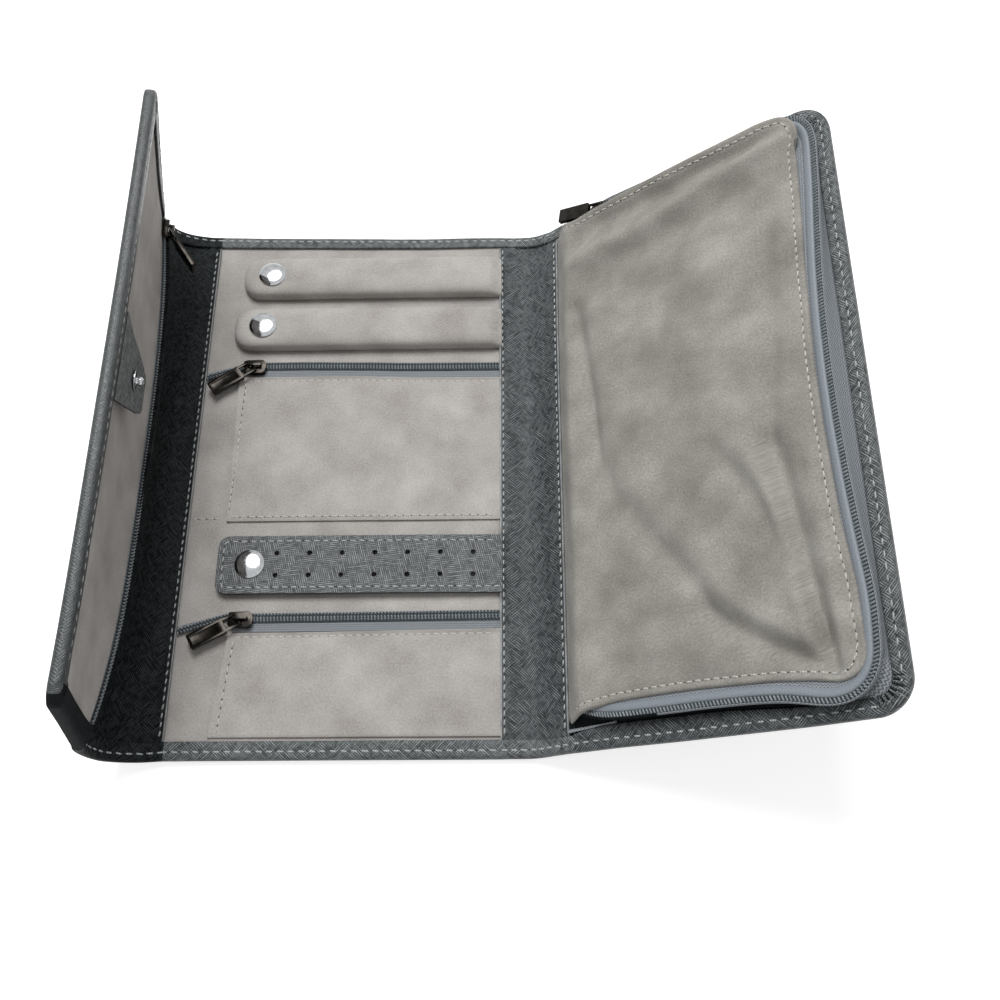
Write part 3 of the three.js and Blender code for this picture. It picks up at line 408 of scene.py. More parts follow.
def far_share(t, y):
    """Share of the far end's pull: only the last of it on the boarded middle, most of the
    length on the soft case."""
    soft = smooth(FOLD, CASE_FOLD, t)
    return (1 - soft) * smooth(95, HALF, y) + soft * smooth(10, HALF, y) ** 2


def case_lift(t, y):
    """How far the soft case and its spine stand off the plain layout, and their far end's pull."""
    droop = -1.2 * smooth(72, 88, t) * (1 - smooth(94, 118, t)) * smooth(40, HALF, y)
    return droop, blend_list(CASE_FAR_PULL, t) * far_share(t, y)


def flap_lift(t, y):
    """The flap bows inwards along its length, most at its zip and least at its edge, and its
    spine sags outwards at both ends."""
    along = max(0.0, 1 - abs(y / HALF) ** (2.4 if y > 0 else 4.2))
    if t < FLAP_FOLD + 6:
        amount = 8.0 * smooth(FOLD + 6, FLAP_FOLD + 5, t)
    else:
        amount = 0.8 + 7.2 * math.exp(-(t - FLAP_FOLD - 6) / 14)
    share = min(1.0, max(0.0, (t - FOLD + 2) / (LEFT_SPINE + 10)))
    droop = (-5.5 if y > 0 else -4.4) * math.sin(math.pi * share) ** 2 * smooth(62, HALF, abs(y))
    shift = blend_list(FLAP_FAR_PULL, t) * smooth(78, HALF, y)
    shift += blend_list(FLAP_NEAR_PUSH, t) * smooth(88, HALF, -y)
    return amount * along + droop, shift


def flat_place(x, y, z):
    return Vector((x, y, z))


def middle_place(x, y, z):
    """The middle panel lies flat, with its far end drawn in."""
    return Vector((x, y + blend_list(CASE_FAR_PULL, x) * far_share(abs(x), y), z))


RIGHT = Side(1, RIGHT_SPINE, 26, 34, (4, 9), 2.2, case_lift)
LEFT = Side(-1, LEFT_SPINE, 52, 104, (5, 13), 1.5, flap_lift)

# Making meshes


def dress(obj, material, body, replaces=(), across=None):
    """Gives a piece its finish and lets it ride on a body, or fixes it in place where it lies across two."""
    obj.data.materials.append(material)
    if across is None:
        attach(obj, body)
    else:
        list(across)
        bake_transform(obj)
    if replaces:
        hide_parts(*replaces)
    return obj


def flat_layout(p):
    """A sheet's own cut layout: its points as they lie before it is bent."""
    return p[:, :2]


def wrapped_layout(edge=1e3):
    """The cut layout of a cover, whose leather goes on down over its free edges."""
    def lay(p):
        turned = 1.5
        drop = np.where(p[:, 2] < 0.4, 0.0, HEM_H + LEATHER - p[:, 2])
        ends = np.clip((np.abs(p[:, 1]) - HALF + turned) / turned, 0, 1) * np.sign(p[:, 1])
        side = np.clip((p[:, 0] - edge + turned) / turned, 0, 1)
        return np.stack([p[:, 0] + side * drop, p[:, 1] + ends * drop], 1)
    return lay


def slanted_layout(p):
    """The cut layout of a thick piece, whose sides run on slantwise from its top."""
    return np.stack([p[:, 0] + 0.8 * p[:, 2], p[:, 1] + 0.6 * p[:, 2]], 1)


def mesh_from(name, points, faces, place=flat_place, sharp=40, lay=slanted_layout):
    """A mesh of points in a panel's own coordinates, put in its place, with its flat layout."""
    mesh = bpy.data.meshes.new(name)
    mesh.from_pydata([place(*p) * MM for p in points], [], faces)
    flat = mesh.uv_layers.new(name="cut")
    vertex = np.zeros(len(mesh.loops), dtype=np.int32)
    mesh.loops.foreach_get("vertex_index", vertex)
    local = lay(np.array(points, float))
    flat.data.foreach_set("uv", (local[vertex] * MM).astype(np.float32).ravel())
    mesh.polygons.foreach_set("use_smooth", [True] * len(mesh.polygons))
    mesh.set_sharp_from_angle(angle=math.radians(sharp))
    obj = bpy.data.objects.new(name, mesh)
    bpy.context.scene.collection.objects.link(obj)
    return obj


def finish_faces(obj, choose, *materials):
    """Gives a piece more finishes. Choose gives a face's finish, from 0 for the piece's first."""
    for material in materials:
        obj.data.materials.append(material)
    faces = obj.data.polygons
    faces.foreach_set("material_index", [int(choose(list(face.vertices))) for face in faces])


def outward(obj):
    """Faces of a closed piece all turned outwards, and no ngon left in it."""
    work = bmesh.new()
    work.from_mesh(obj.data)
    bmesh.ops.triangulate(work, faces=[f for f in work.faces if len(f.verts) > 4])
    bmesh.ops.recalc_face_normals(work, faces=work.faces)
    work.to_mesh(obj.data)
    work.free()
    return obj


def slab(name, top, bottom, place, sharp=40, lay=slanted_layout):
    """A closed sheet between two grids of points of one size."""
    rows, columns = len(top), len(top[0])
    points = [p for row in top + bottom for p in row]
    under = rows * columns
    faces = []
    for i in range(rows - 1):
        for j in range(columns - 1):
            a = i * columns + j
            b = a + under
            faces.append((a, a + columns, a + columns + 1, a + 1))
            faces.append((b, b + 1, b + columns + 1, b + columns))
    rim = list(range(columns))
    rim += [i * columns + columns - 1 for i in range(1, rows)]
    rim += [(rows - 1) * columns + j for j in range(columns - 2, -1, -1)]
    rim += [i * columns for i in range(rows - 2, 0, -1)]
    for a, b in zip(rim, rim[1:] + rim[:1]):
        faces.append((a, b, b + under, a + under))
    return outward(mesh_from(name, points, faces, place, sharp, lay))


def walls(faces, base, count, rings):
    """Quads round each pair of neighbouring rings of count points."""
    for i in range(rings - 1):
        for j in range(count):
            a = base + i * count + j
            b = base + i * count + (j + 1) % count
            faces.append((a, b, b + count, a + count))


def tube(name, places, ring, place, sharp=40, lay=slanted_layout):
    """A closed body through rings: ring(t) gives the same number of points each time."""
    rings = [ring(t) for t in places]
    count = len(rings[0])
    points = [p for r in rings for p in r]
    faces = [tuple(range(count))[::-1], tuple(range(len(points) - count, len(points)))]
    walls(faces, 0, count, len(rings))
    return outward(mesh_from(name, points, faces, place, sharp, lay))


def bead(verts, faces, profile, skin):
    """A closed six-sided bead through a profile of (share of length, swell) pairs. The point
    skin(share, swell, turn) lies on it."""
    base, last = len(verts), 6 * len(profile) - 6
    for share, swell in profile:
        verts += [skin(share, swell, corner * math.pi / 3) for corner in range(6)]
    walls(faces, base, 6, len(profile))
    faces.append(tuple(base + c for c in range(6))[::-1])
    faces.append(tuple(base + last + c for c in range(6)))


# Stitches: each is a short thread lying in a dimple, with a gap between

THREAD_PROFILE = [(-0.5, 0.25), (-0.4, 0.8), (-0.15, 1.0), (0.15, 1.0), (0.4, 0.8), (0.5, 0.25)]
UPRIGHT = Vector((0, 0, 1))


def stitches(name, path, material, body, pitch=3.6, size=(2.5, 0.66, 0.46), across=None,
             mark=(0.62, 0.36)):
    """Thread along a path of (point, up) pairs in world millimetres, with a dark disc of painted shade for
    the needle hole, of half lengths mark, between one stitch and the next."""
    points = [p for p, _ in path]
    steps = [0.0]
    for a, b in zip(points, points[1:]):
        steps.append(steps[-1] + (b - a).length)
    axes = [[p[k] for p in points] for k in range(3)]
    rise = [[u[k] for _, u in path] for k in range(3)]
    verts, faces, holes = [], [], set()
    length, width, height = size
    start = 1.0
    rng = random.Random(name)

    def frame_at(place):
        here = Vector([np.interp(place, steps, a) for a in axes])
        ahead = Vector([np.interp(place + 0.5, steps, a) for a in axes])
        along = (ahead - here).normalized() if (ahead - here).length > 1e-6 else Vector((0, 1, 0))
        up = Vector([np.interp(place, steps, a) for a in rise]).normalized()
        return here, along, up, along.cross(up).normalized()

    place = start
    while place < steps[-1] - start:
        here, along, up, side = frame_at(place)
        slant = rng.uniform(-0.07, 0.07) + 0.08

        def skin(share, swell, turn):
            sink = 0.55 * (1 - swell) + 0.08
            centre = here + along * (share * length) + side * (share * length * slant)
            return (centre + side * (math.cos(turn) * width * swell / 2)
                    + up * (math.sin(turn) * height * swell / 2 - sink * height + 0.1))

        bead(verts, faces, THREAD_PROFILE, skin)
        step = pitch * rng.uniform(0.97, 1.03)
        if place + step < steps[-1] - start:
            here, along, up, side = frame_at(place + step / 2)
            base = len(verts)
            verts.append(here + up * 0.1)
            verts += [here + along * (math.cos(k * math.pi / 4) * mark[0])
                      + side * (math.sin(k * math.pi / 4) * mark[1]) - up * 0.06 for k in range(8)]
            verts.append(here - up * 0.1)
            holes.update(range(base, base + 10))
            for k in range(8):
                a, b = base + 1 + k, base + 1 + (k + 1) % 8
                faces += [(base, a, b), (base + 9, b, a)]
        place += step
    obj = mesh_from(name, [tuple(v) for v in verts], faces, sharp=60)
    dress(obj, material, body, across=across)
    finish_faces(obj, lambda face: face[0] in holes, NEEDLE_HOLE_SHADE)
    return outward(obj)


def path_on(place, up, corners, step=3.0):
    """World points and normals along straight runs between (t, y, h) corners."""
    path = []
    for (a, b) in zip(corners, corners[1:]):
        a, b = np.array(a, float), np.array(b, float)
        count = max(2, int(np.linalg.norm(b - a) / step))
        for k in range(count):
            p = a + (b - a) * k / count
            path.append((place(*p), up(p[0])))
    path.append((place(*corners[-1]), up(corners[-1][0])))
    return path


# Leather covers


def end_profile(level, width=8.0):
    """The turned end of a cover, from the hem's inner edge round to the outer face, and back
    along its inside, as (inset, height) pairs, for a hem of that width."""
    outer = [(8.0, level + 0.25), (7.85, level + 0.8), (7.4, level + 1.0), (6.0, level + 1.06),
             (4.2, level + 1.02), (3.3, level + 0.9), (2.6, level + 1.02), (1.4, level + 0.98),
             (0.6, level + 0.72), (0.15, level + 0.2), (0.0, level - 0.6), (0.0, level - 1.4),
             (0.2, 0.6), (0.6, 0.2), (1.3, 0.02), (3.0, 0.0)]
    inner = [(3.0, 1.0), (1.7, 1.0), (1.2, 1.3), (1.05, level - 0.5), (1.4, level - 0.1), (8.0, level)]

    def narrow(e, h):
        return (e if h < 1.4 or e < 3.4 else 3.4 + (e - 3.4) * (width - 3.4) / 4.6, h)

    return [narrow(*p) for p in outer], [narrow(*p) for p in inner]


def hem_widths(t, panel_hem, fold_two):
    """Widths of the near and the far hem, from the middle over the spine to the panel."""
    share = smooth(FOLD, fold_two, t)
    return NEAR_HEM + (panel_hem - NEAR_HEM) * share, FAR_HEM + (panel_hem - FAR_HEM) * share


def hem_wave(t, y):
    """The small unevenness of turned leather."""
    return 0.22 * ripple(t, y, 14, 3.1)


def side_level(t, fold_two):
    """Height of the hem's underside along a side, from the middle over the spine to the panel."""
    over_spine = smooth(FOLD - 4, FOLD + 3, t) - smooth(fold_two - 3, fold_two + PANEL_START, t)
    return HEM_H - (HEM_H - SPINE_HEM_H) * over_spine


def end_hemmed(name, places, place, level, widths, node, leather, across=None, body=None):
    """A strip of cover between two cut lines, with a hem at each end. Its outer face is the same leather on
    every strip, and its hems and inside take the leather given, which on the flap's spine is a near-black
    copy as painted shade."""
    floor = stations(-HALF + 10, HALF - 10, 21)

    def ring(t):
        near, far = widths(t)
        outer, inner = end_profile(level(t), near)
        far_outer, far_inner = end_profile(level(t), far)
        loop = [(-HALF + e, h) for e, h in outer] + [(y, 0.0) for y in floor]
        loop += [(HALF - e, h) for e, h in far_outer[::-1] + far_inner[::-1]]
        loop += [(y, LEATHER) for y in floor[::-1]] + [(-HALF + e, h) for e, h in inner]
        return [(t, y, h + (hem_wave(t, y) if abs(y) > HALF - 9 else 0)) for y, h in loop]

    obj = tube(name, places, ring, place, 50, lay=wrapped_layout())
    dress(obj, leather, body, [node], across)
    count, first = len(ring(places[0])), len(end_profile(HEM_H)[0]) - 3
    last = first + len(floor) + 5
    finish_faces(obj, lambda face: len(face) == 4 and all(first <= v % count <= last for v in face),
                 LEATHER_FINISH)


# How far the case's near edge bulges out at each distance from the spine, and by how much its
# hem is wider there
CASE_NEAR_BULGE = [(0, 0), (20, 0.1), (45, 0.7), (65, 0.95), (90, 1.3), (112, 1.2), (120, 0.7),
                   (130, 0.3)]
CASE_NEAR_WIDER = [(0, 0), (3, 0.2), (10, 1.6), (22, 2.2), (60, 2.2), (86, 0.3), (96, 0), (130, 0)]


def panel_outline(start, edge, radius, inset, fine=64):
    """A panel's free outline at one inset: near side, corner, outer edge, corner, far side. The
    third number runs from 0 to 1 round the near corner and from 2 to 3 round the far one."""
    r = max(radius - inset, 0.9)
    corner_t, corner_y = edge - inset - r, HALF - inset - r
    side = [start + (corner_t - start) * k / 20 for k in range(20)]
    turns = [math.pi / 2 * k / fine for k in range(fine + 1)]
    points = [(t, -HALF + inset, -1.0) for t in side]
    points += [(corner_t + r * math.sin(a), -corner_y - r * math.cos(a), k / fine)
               for k, a in enumerate(turns)]
    points += [(edge - inset, corner_y * (2 * k / 30 - 1), -1.0) for k in range(1, 30)]
    points += [(corner_t + r * math.cos(a), corner_y + r * math.sin(a), 2 + k / fine)
               for k, a in enumerate(turns)]
    points += [(t, HALF - inset, -1.0) for t in side[::-1]]
    if edge != CASE_EDGE:
        return points
    bulged = []
    for t, y, corner in points:
        push = blend_list(CASE_NEAR_BULGE, t - CASE_FOLD)
        push -= blend_list(CASE_NEAR_WIDER, t - CASE_FOLD) * smooth(3.4, 5.9, inset)
        bulged.append((t, y - push * smooth(92, 108, -y), corner))
    return bulged


def pleat(along, inset, deep):
    """Height of the gathers at a share of the way round a corner, and whether that is a crease."""
    fade = math.sin(math.pi * min(1, along)) ** 0.4 * smooth(0.6, 3.4, inset)
    wave = abs(math.cos(along * math.pi * 8 + 0.5 * ripple(along * 9, 0, 1, 2.7)))
    crease = deep > 1 and wave < 0.36 and 0.12 < along < 0.93 and 1.4 < inset < 8
    return deep * fade * (wave ** 0.8 - 0.45), crease


def cover_shell(outer, inner, outline, pleats):
    """Points and faces of a panel's cover through its rings, and the points in its creases."""
    points, loops, creases = [], [], set()
    for inset, h in outer + inner:
        loops.append([])
        for t, y, corner in outline(inset):
            rise = hem_wave(t, y) if h > 2.5 else 0.0
            if corner >= 0 and h > HEM_H + 0.1:
                gather, crease = pleat(corner % 2, inset, pleats[corner > 1])
                rise += gather
                if crease:
                    creases.add(len(points))
            loops[-1].append(len(points))
            points.append((t, y, h + rise))
    turn = len(outer)
    faces = [tuple(loops[turn - 1]), tuple(loops[turn][::-1])]
    for a, b in zip(loops, loops[1:] + loops[:1]):
        if a is not loops[turn - 1]:
            faces += [(a[k], a[k + 1], b[k + 1], b[k]) for k in range(len(a) - 1)]
    up, back = loops[:turn], loops[turn:]
    faces.append(tuple([a[0] for a in up] + [a[-1] for a in up[::-1]]
                       + [a[-1] for a in back[::-1]] + [a[0] for a in back]))
    return points, faces, creases


def panel_cover(name, start, edge, radius, place, body, node, pleats, width, finishes, choose, reach):
    """A boarded panel's cover: outer face, rounded edge and turned hem, gathered in small pleats
    at its two round corners, where the turned leather has length to spare. Choose(outside, near,
    crease) picks a face's finish, and the near hem counts as near as far as reach."""
    points, faces, creases = cover_shell(
        *end_profile(HEM_H, width), lambda inset: panel_outline(start, edge, radius, inset), pleats)
    work = bmesh.new()
    for p in points:
        work.verts.new(p)
    work.verts.ensure_lookup_table()
    for face in faces:
        made = work.faces.new([work.verts[k] for k in face])
        made.material_index = int(sum(k in creases for k in face) >= 3)
    bmesh.ops.triangulate(work, faces=[f for f in work.faces if len(f.verts) > 4])
    for y in stations(-105, 105, 22):
        cut(work, (0, y, 0), (0, 1, 0))
    for t in stations(start + 12, edge - 14, 8):
        cut(work, (t, 0, 0), (1, 0, 0))
    local, polygons, creased = taken_out(work, [f.material_index for f in work.faces])
    obj = mesh_from(name, local, polygons, place, 50, lay=wrapped_layout(edge))
    dress(obj, finishes[0], body, [node])
    for material in finishes[1:]:
        obj.data.materials.append(material)
    for face, crease in zip(obj.data.polygons, creased):
        corners = [local[v] for v in face.vertices]
        outside = sum(p[2] for p in corners) < 0.4 * len(corners)
        near = max(p[1] for p in corners) < -HALF + HEM + 0.1 and max(p[0] for p in corners) < reach
        face.material_index = int(choose(outside, near, crease))


def taken_out(work, marks):
    """Points and faces of a mesh being worked on, its faces turned outwards, and their marks."""
    bmesh.ops.recalc_face_normals(work, faces=work.faces)
    work.verts.index_update()
    points = [tuple(v.co) for v in work.verts]
    faces = [[v.index for v in f.verts] for f in work.faces]
    work.free()
    return points, faces, marks


def cut(work, point, normal):
    """New edges right across a mesh, so that it can bend there."""
    geometry = list(work.verts) + list(work.edges) + list(work.faces)
    bmesh.ops.bisect_plane(work, geom=geometry, dist=1e-4, plane_co=point, plane_no=normal)


def end_point(side, t):
    """A point on the layout's own line, clear of bow and droop."""
    return Vector((side.sign * np.interp(t, side.places, side.x), 0,
                   np.interp(t, side.places, side.z))) * MM


RIGHT_FIRST = ("middle", "right_spine", Vector((SEAM, 0, 0.5)) * MM,
               end_point(RIGHT, FOLD + RIGHT_SPINE / 2))
RIGHT_SECOND = ("right_spine", "right_case", end_point(RIGHT, FOLD + RIGHT_SPINE / 2),
                end_point(RIGHT, CASE_FOLD + PANEL_START))
LEFT_FIRST = ("middle", "left_spine", Vector((-SEAM, 0, 0.5)) * MM,
              end_point(LEFT, FOLD + LEFT_SPINE / 2))
LEFT_SECOND = ("left_spine", "left_flap", end_point(LEFT, FOLD + LEFT_SPINE / 2),
               end_point(LEFT, FLAP_FOLD - 1))


def make_covers():
    end_hemmed("middle_outer_leather", stations(-SEAM, SEAM, 43), middle_place, lambda t: HEM_H,
               lambda t: (NEAR_HEM, FAR_HEM), "middle_cover", LEATHER_FINISH, body="middle")
    # The flap's spine cover takes the near-black painted shade on its hems and inside
    for side, fold_two, first, second, word, panel_hem, leather in (
            (RIGHT, CASE_FOLD, RIGHT_FIRST, RIGHT_SECOND, "right", CASE_HEM, LEATHER_FINISH),
            (LEFT, FLAP_FOLD, LEFT_FIRST, LEFT_SECOND, "left", HEM, FLAP_SPINE_SHADE_FINISH)):
        middle_line = (FOLD + fold_two) / 2
        for part, low, high, across in (("inner", SEAM, middle_line, first),
                                        ("outer", middle_line, fold_two + PANEL_START, second)):
            end_hemmed(f"{word}_spine_leather_{part}", stations(low, high, 15), side,
                       lambda t: side_level(t, fold_two), lambda t: hem_widths(t, panel_hem, fold_two),
                       f"{word}_spine_cover", leather, across)
    # Case cover: painted shade in the pleats' creases and on the near hem
    panel_cover("case_outer_leather", CASE_FOLD + PANEL_START, CASE_EDGE, CASE_CORNER, RIGHT,
                "right_case", "case_cover", (2.3, 0.9), CASE_HEM,
                (LEATHER_FINISH, SHADE_FINISH, CASE_SHADE_LEATHER_FINISH),
                lambda outside, near, crease: 1 if crease else 2 * (near and not outside), CASE_EDGE - 9)
    # Flap cover: painted shade on its rounded edge and hem, darker still on the near hem
    panel_cover("flap_outer_leather", FLAP_FOLD + PANEL_START, FLAP_EDGE, FLAP_CORNER, LEFT,
                "left_flap", "flap_cover", (0.7, 0.4), HEM,
                (FLAP_HEM_SHADE_FINISH, FLAP_END_SHADE_FINISH, LEATHER_FINISH),
                lambda outside, near, crease: 2 if outside else near, FLAP_EDGE - 1)


# Thin sheets: linings, bands, boards and tapes


def leaf(name, places, widths, under, thick, place, free=(True, True), sharp=40, lay=slanted_layout):
    """A sheet over rows of constant t. under(t, y) is its lower face, widths(t) its y stations,
    and its free edges are slightly rounded."""
    upper, lower = [], []
    last = len(places) - 1
    for i, t in enumerate(places):
        row = widths(t)
        bare = (i == 0 and free[0]) or (i == last and free[1])
        soft = [0.28 * thick if bare or j in (0, len(row) - 1) else 0.0 for j in range(len(row))]
        levels = [under(t, y) for y in row]
        upper.append([(t, y, h + thick - r) for y, h, r in zip(row, levels, soft)])
        lower.append([(t, y, h + r) for y, h, r in zip(row, levels, soft)])
    return slab(name, upper, lower, place, sharp, lay)


def even(low, high, count, fringe=0.5):
    """Stations from low to high with one close to each end."""
    return [low] + stations(low + fringe, high - fringe, count) + [high]


def plain_rows(low, high, count=60):
    places = even(low, high, count)
    return lambda t: places


def round_rows(edge, radius, count=60):
    """Rows across a panel's lining or board, drawn in round its outer corners."""
    def rows(t):
        into = max(0.0, t - (edge - radius))
        reach = LINING_END - radius + math.sqrt(max(0.0, radius * radius - min(into, radius) ** 2))
        return even(-reach, reach, count)
    return rows


def line_panel(word, body, place, lining, board, under, board_place=None):
    """A panel's suede lining, glued and stretched over its board. Each is (places, rows)."""
    sheet = leaf(f"{word}_suede_lining", *lining, under, SUEDE, place, sharp=60)
    dress(sheet, SUEDE_FINISH, body, [f"{word}_lining"])
    stiff = leaf(f"{word}_grey_board", *board, lambda t, y: BOARD_UNDER, BOARD, board_place or place)
    dress(stiff, BOARD_FINISH, body, [f"{word}_board"])


def make_middle():
    def place(x, y, z):
        return middle_place(x, y, z + (0.16 * ripple(x, y, 23, 5.5) if z > 3 else 0))

    edge = 64.7
    line_panel("middle", "middle", place, (even(-edge, edge, 44), plain_rows(-LINING_END, LINING_END)),
               (even(-edge, edge, 6), plain_rows(-LINING_END, LINING_END, 14)),
               lambda t, y: SUEDE_UNDER, middle_place)


BAR_SPANS = [(82.3, 101.7), (56.3, 75.7)]
STRAP_SPAN = (-54.0, -30.0)


def over_bars(y):
    """The band's sewn edge rides up over the roots of the ring bars, the strap and the chains."""
    rise = 0.0
    for low, high in BAR_SPANS:
        rise += 2.0 * smooth(low - 2.5, low + 3, y) * (1 - smooth(high - 3, high + 2.5, y))
    low, high = STRAP_SPAN
    rise += 1.7 * smooth(low - 3, low + 2, y) * (1 - smooth(high - 2, high + 3, y))
    for chain in (47, -63.5):
        rise += 1.3 * math.exp(-((y - chain) / 2.8) ** 2)
    return rise


# Heights of the inner leather over each spine at each distance from the middle line
RIGHT_BAND = [(62.3, 3.65), (65.6, 3.5), (68.5, 2.2), (72, 1.35), (84, 1.35), (87.5, 2.2), (90, 3.0),
              (92.5, 3.3)]
LEFT_BAND = [(63.7, 3.65), (65.6, 3.5), (68.5, 2.2), (72, 1.35), (93, 1.35), (97.5, 2.2), (100.5, 3.3),
             (103, 3.4)]


def band_rows(panel_hem, fold_two, count=90):
    """The spine's inner leather runs a little way in under the hem at each end."""
    def rows(t):
        near, far = hem_widths(t, panel_hem, fold_two)
        return even(-HALF + near - 1.5, HALF - far + 1.5, count)
    return rows


def painted_rim(obj, count, rows):
    """Edge paint on the outer two rows of a band's top, pale as a painted highlight, and painted shade in the
    pressed groove inside it.
    """
    columns = len(obj.data.vertices) // (2 * count)

    def paint(face):
        row = min(face) // columns if max(face) < count * columns else -1
        return rows.index(row) // 2 + 1 if row in rows else 0

    finish_faces(obj, paint, EDGE_HIGHLIGHT_FINISH, EDGE_SHADE_FINISH)


def make_bands():
    # The inner bands over both spines take darker copies of the saffiano as painted shade, the flap's the
    # darkest
    for side, heights, middle_t, last, first_blend, second_blend, word, leather, hem, fold in (
            (RIGHT, RIGHT_BAND, 78.5, 91.6, RIGHT_FIRST, RIGHT_SECOND, "right", CASE_SHADE_LEATHER_FINISH,
             CASE_HEM, CASE_FOLD),
            (LEFT, LEFT_BAND, 83.0, 102.2, LEFT_FIRST, LEFT_SECOND, "left", FLAP_SPINE_SHADE_FINISH,
             HEM, FLAP_FOLD)):
        edge = heights[0][0]
        right = word == "right"

        def under(t, y):
            lift = blend_list(heights, t)
            if right and t < FOLD:
                lift += over_bars(y) * (1 - smooth(SEAM, 66.5, t))
            elif not right:
                lift += 2.0 * smooth(96, 101, t) * smooth(-32, 0, y) * (1 - smooth(100, 112, y))
            near, far = hem_widths(t, hem, fold)
            inset = min(y + HALF - near, HALF - far - y)
            drop = 1.15 * (1 - smooth(66, 69, t)) + 0.9 * smooth(fold - 5, fold - 1, t)
            return lift - drop * (1 - smooth(-0.2, 2.6, inset)) + 0.1 * ripple(t, y, 16, 8.8)

        rim = [0, 0.2, 0.75, 1.25]
        inner = leaf(f"{word}_spine_inner_leather_a",
                     [edge + d for d in rim] + stations(edge + 1.8, middle_t, 14),
                     band_rows(hem, fold), under, LEATHER, side, (True, False), lay=flat_layout)
        outer = leaf(f"{word}_spine_inner_leather_b",
                     stations(middle_t, last - 1.8, 14) + [last - d for d in rim[::-1]],
                     band_rows(hem, fold), under, LEATHER, side, (False, True), lay=flat_layout)
        names = [f"{word}_spine_band", f"{word}_seam_strip"]
        dress(inner, leather, None, names, first_blend)
        dress(outer, leather, None, names[:1], second_blend)
        painted_rim(inner, 18, (0, 1, 2))
        if right:
            painted_rim(outer, 18, (16, 15, 14))
        seams = [(edge + (2.1 if right else 2.7), first_blend, "near")]
        seams += [(last - 1.7, second_blend, "panel")] if right else []
        for t, across, end in seams:
            path = [(side(t, y, under(t, y) + LEATHER + 0.02), side.up(t))
                    for y in np.linspace(-108.5, 110.6, 110)]
            stitches(f"{word}_band_stitches_{end}", path, LEATHER_THREAD, None,
                     across=across, pitch=3.3, size=(2.1, 0.62, 0.46), mark=(0.72, 0.42))


# Ring bars


def bar_section(x, left, root, seed):
    """Width, height and lean of the bar at x."""
    into = x - left
    round_end = math.sqrt(max(0.0, 1 - max(0.0, 1 - into / 8.5) ** 2.2))
    width = 19.4 - 2 * 8.2 * (1 - round_end)
    height = 6.9 * (0.3 + 0.7 * round_end ** 0.8)
    tuck = smooth(root - 5, root - 0.5, x)
    height *= 1 - 0.5 * tuck
    width *= 1 - 0.02 * tuck + 0.012 * ripple(x, 0, 17, seed)
    return width, height * (1 + 0.03 * ripple(x, 4, 13, seed))


def make_ring_bar(word, left, y0, seed):
    """A bar lies on the lining from its free left end to its root under the right band."""
    root, under = BAND_EDGE + 0.1, 3.62
    snap = left + 13
    count = 36

    def ring(x):
        width, height = bar_section(x, left, root, seed)
        belly = 0.3 * height
        points = []
        for k in range(count):
            c, s = math.cos(2 * math.pi * k / count), math.sin(2 * math.pi * k / count)
            across = math.copysign(abs(c) ** 0.72, c) * width / 2
            z = under + belly + (s ** 0.62 * (height - belly) if s > 0 else -abs(s) ** 0.3 * belly)
            if s > 0:
                z += 0.12 * ripple(x * 0.5, across, 5, seed) * s
                pinch = math.hypot(x - snap, across)
                z -= 0.75 * math.exp(-max(0.0, pinch - 4.5) ** 2 / 9) * s ** 0.5
            points.append((x, y0 + across, max(under, z)))
        return points

    places = [left + 0.12] + [left + 8.5 * (1 - math.cos(k / 11 * math.pi / 2)) for k in range(1, 12)]
    bar = tube(f"ring_bar_{word}_pad", places + stations(left + 10, root, 52), ring, flat_place, 50)
    recess(bar, (snap, y0, 3.2), 4.9, 4.6)
    dress(bar, SUEDE_FINISH, f"{word}_ring_bar", [f"ring_bar_{word}"])
    snap_cap(f"ring_bar_{word}_cap", (snap, y0, 9.62), f"{word}_ring_bar")
    socket_ring(f"ring_bar_{word}_socket", Vector((snap, y0, 7.68)), -UPRIGHT, 2.2, f"{word}_ring_bar")
    snap_stud(f"ring_bar_{word}_stud", Vector((snap, y0, 3.35)), UPRIGHT, "middle")


def recess(obj, centre, radius, depth):
    """A round well cut up into a piece from below."""
    bpy.ops.mesh.primitive_cylinder_add(
        vertices=40, radius=radius * MM, depth=2 * depth * MM, location=Vector(centre) * MM)
    tool = bpy.context.object
    change = obj.modifiers.new("well", "BOOLEAN")
    change.operation = "DIFFERENCE"
    change.object = tool
    change.solver = "EXACT"
    settle(obj)
    bpy.data.objects.remove(tool)


def settle(obj):
    """Keeps the result of an object's modifiers as its mesh."""
    solved = bpy.data.meshes.new_from_object(obj.evaluated_get(bpy.context.evaluated_depsgraph_get()))
    obj.modifiers.clear()
    obj.data = solved
    return obj


def lathe(name, profile, base, axis, body, node, sides=64):
    """A turned chrome part from (radius, height) pairs, on its base and along its axis."""
    turned = UPRIGHT.rotation_difference(axis).to_matrix()
    points, rows, faces = [], [], []
    for r, z in profile:
        count = sides if r > 1e-6 else 1
        rows.append([len(points) + k % count for k in range(sides)])
        points += [(r * math.cos(2 * math.pi * k / sides), r * math.sin(2 * math.pi * k / sides), z)
                   for k in range(count)]
    for low, high in zip(rows, rows[1:]):
        for k in range(sides):
            n = (k + 1) % sides
            corners = (low[k], low[n], high[n], high[k])
            faces.append(tuple(dict.fromkeys(corners)))
    obj = outward(mesh_from(name, points, faces, lambda x, y, z: base + turned @ Vector((x, y, z)), 35))
    dress(obj, CHROME_FINISH, body, [node])


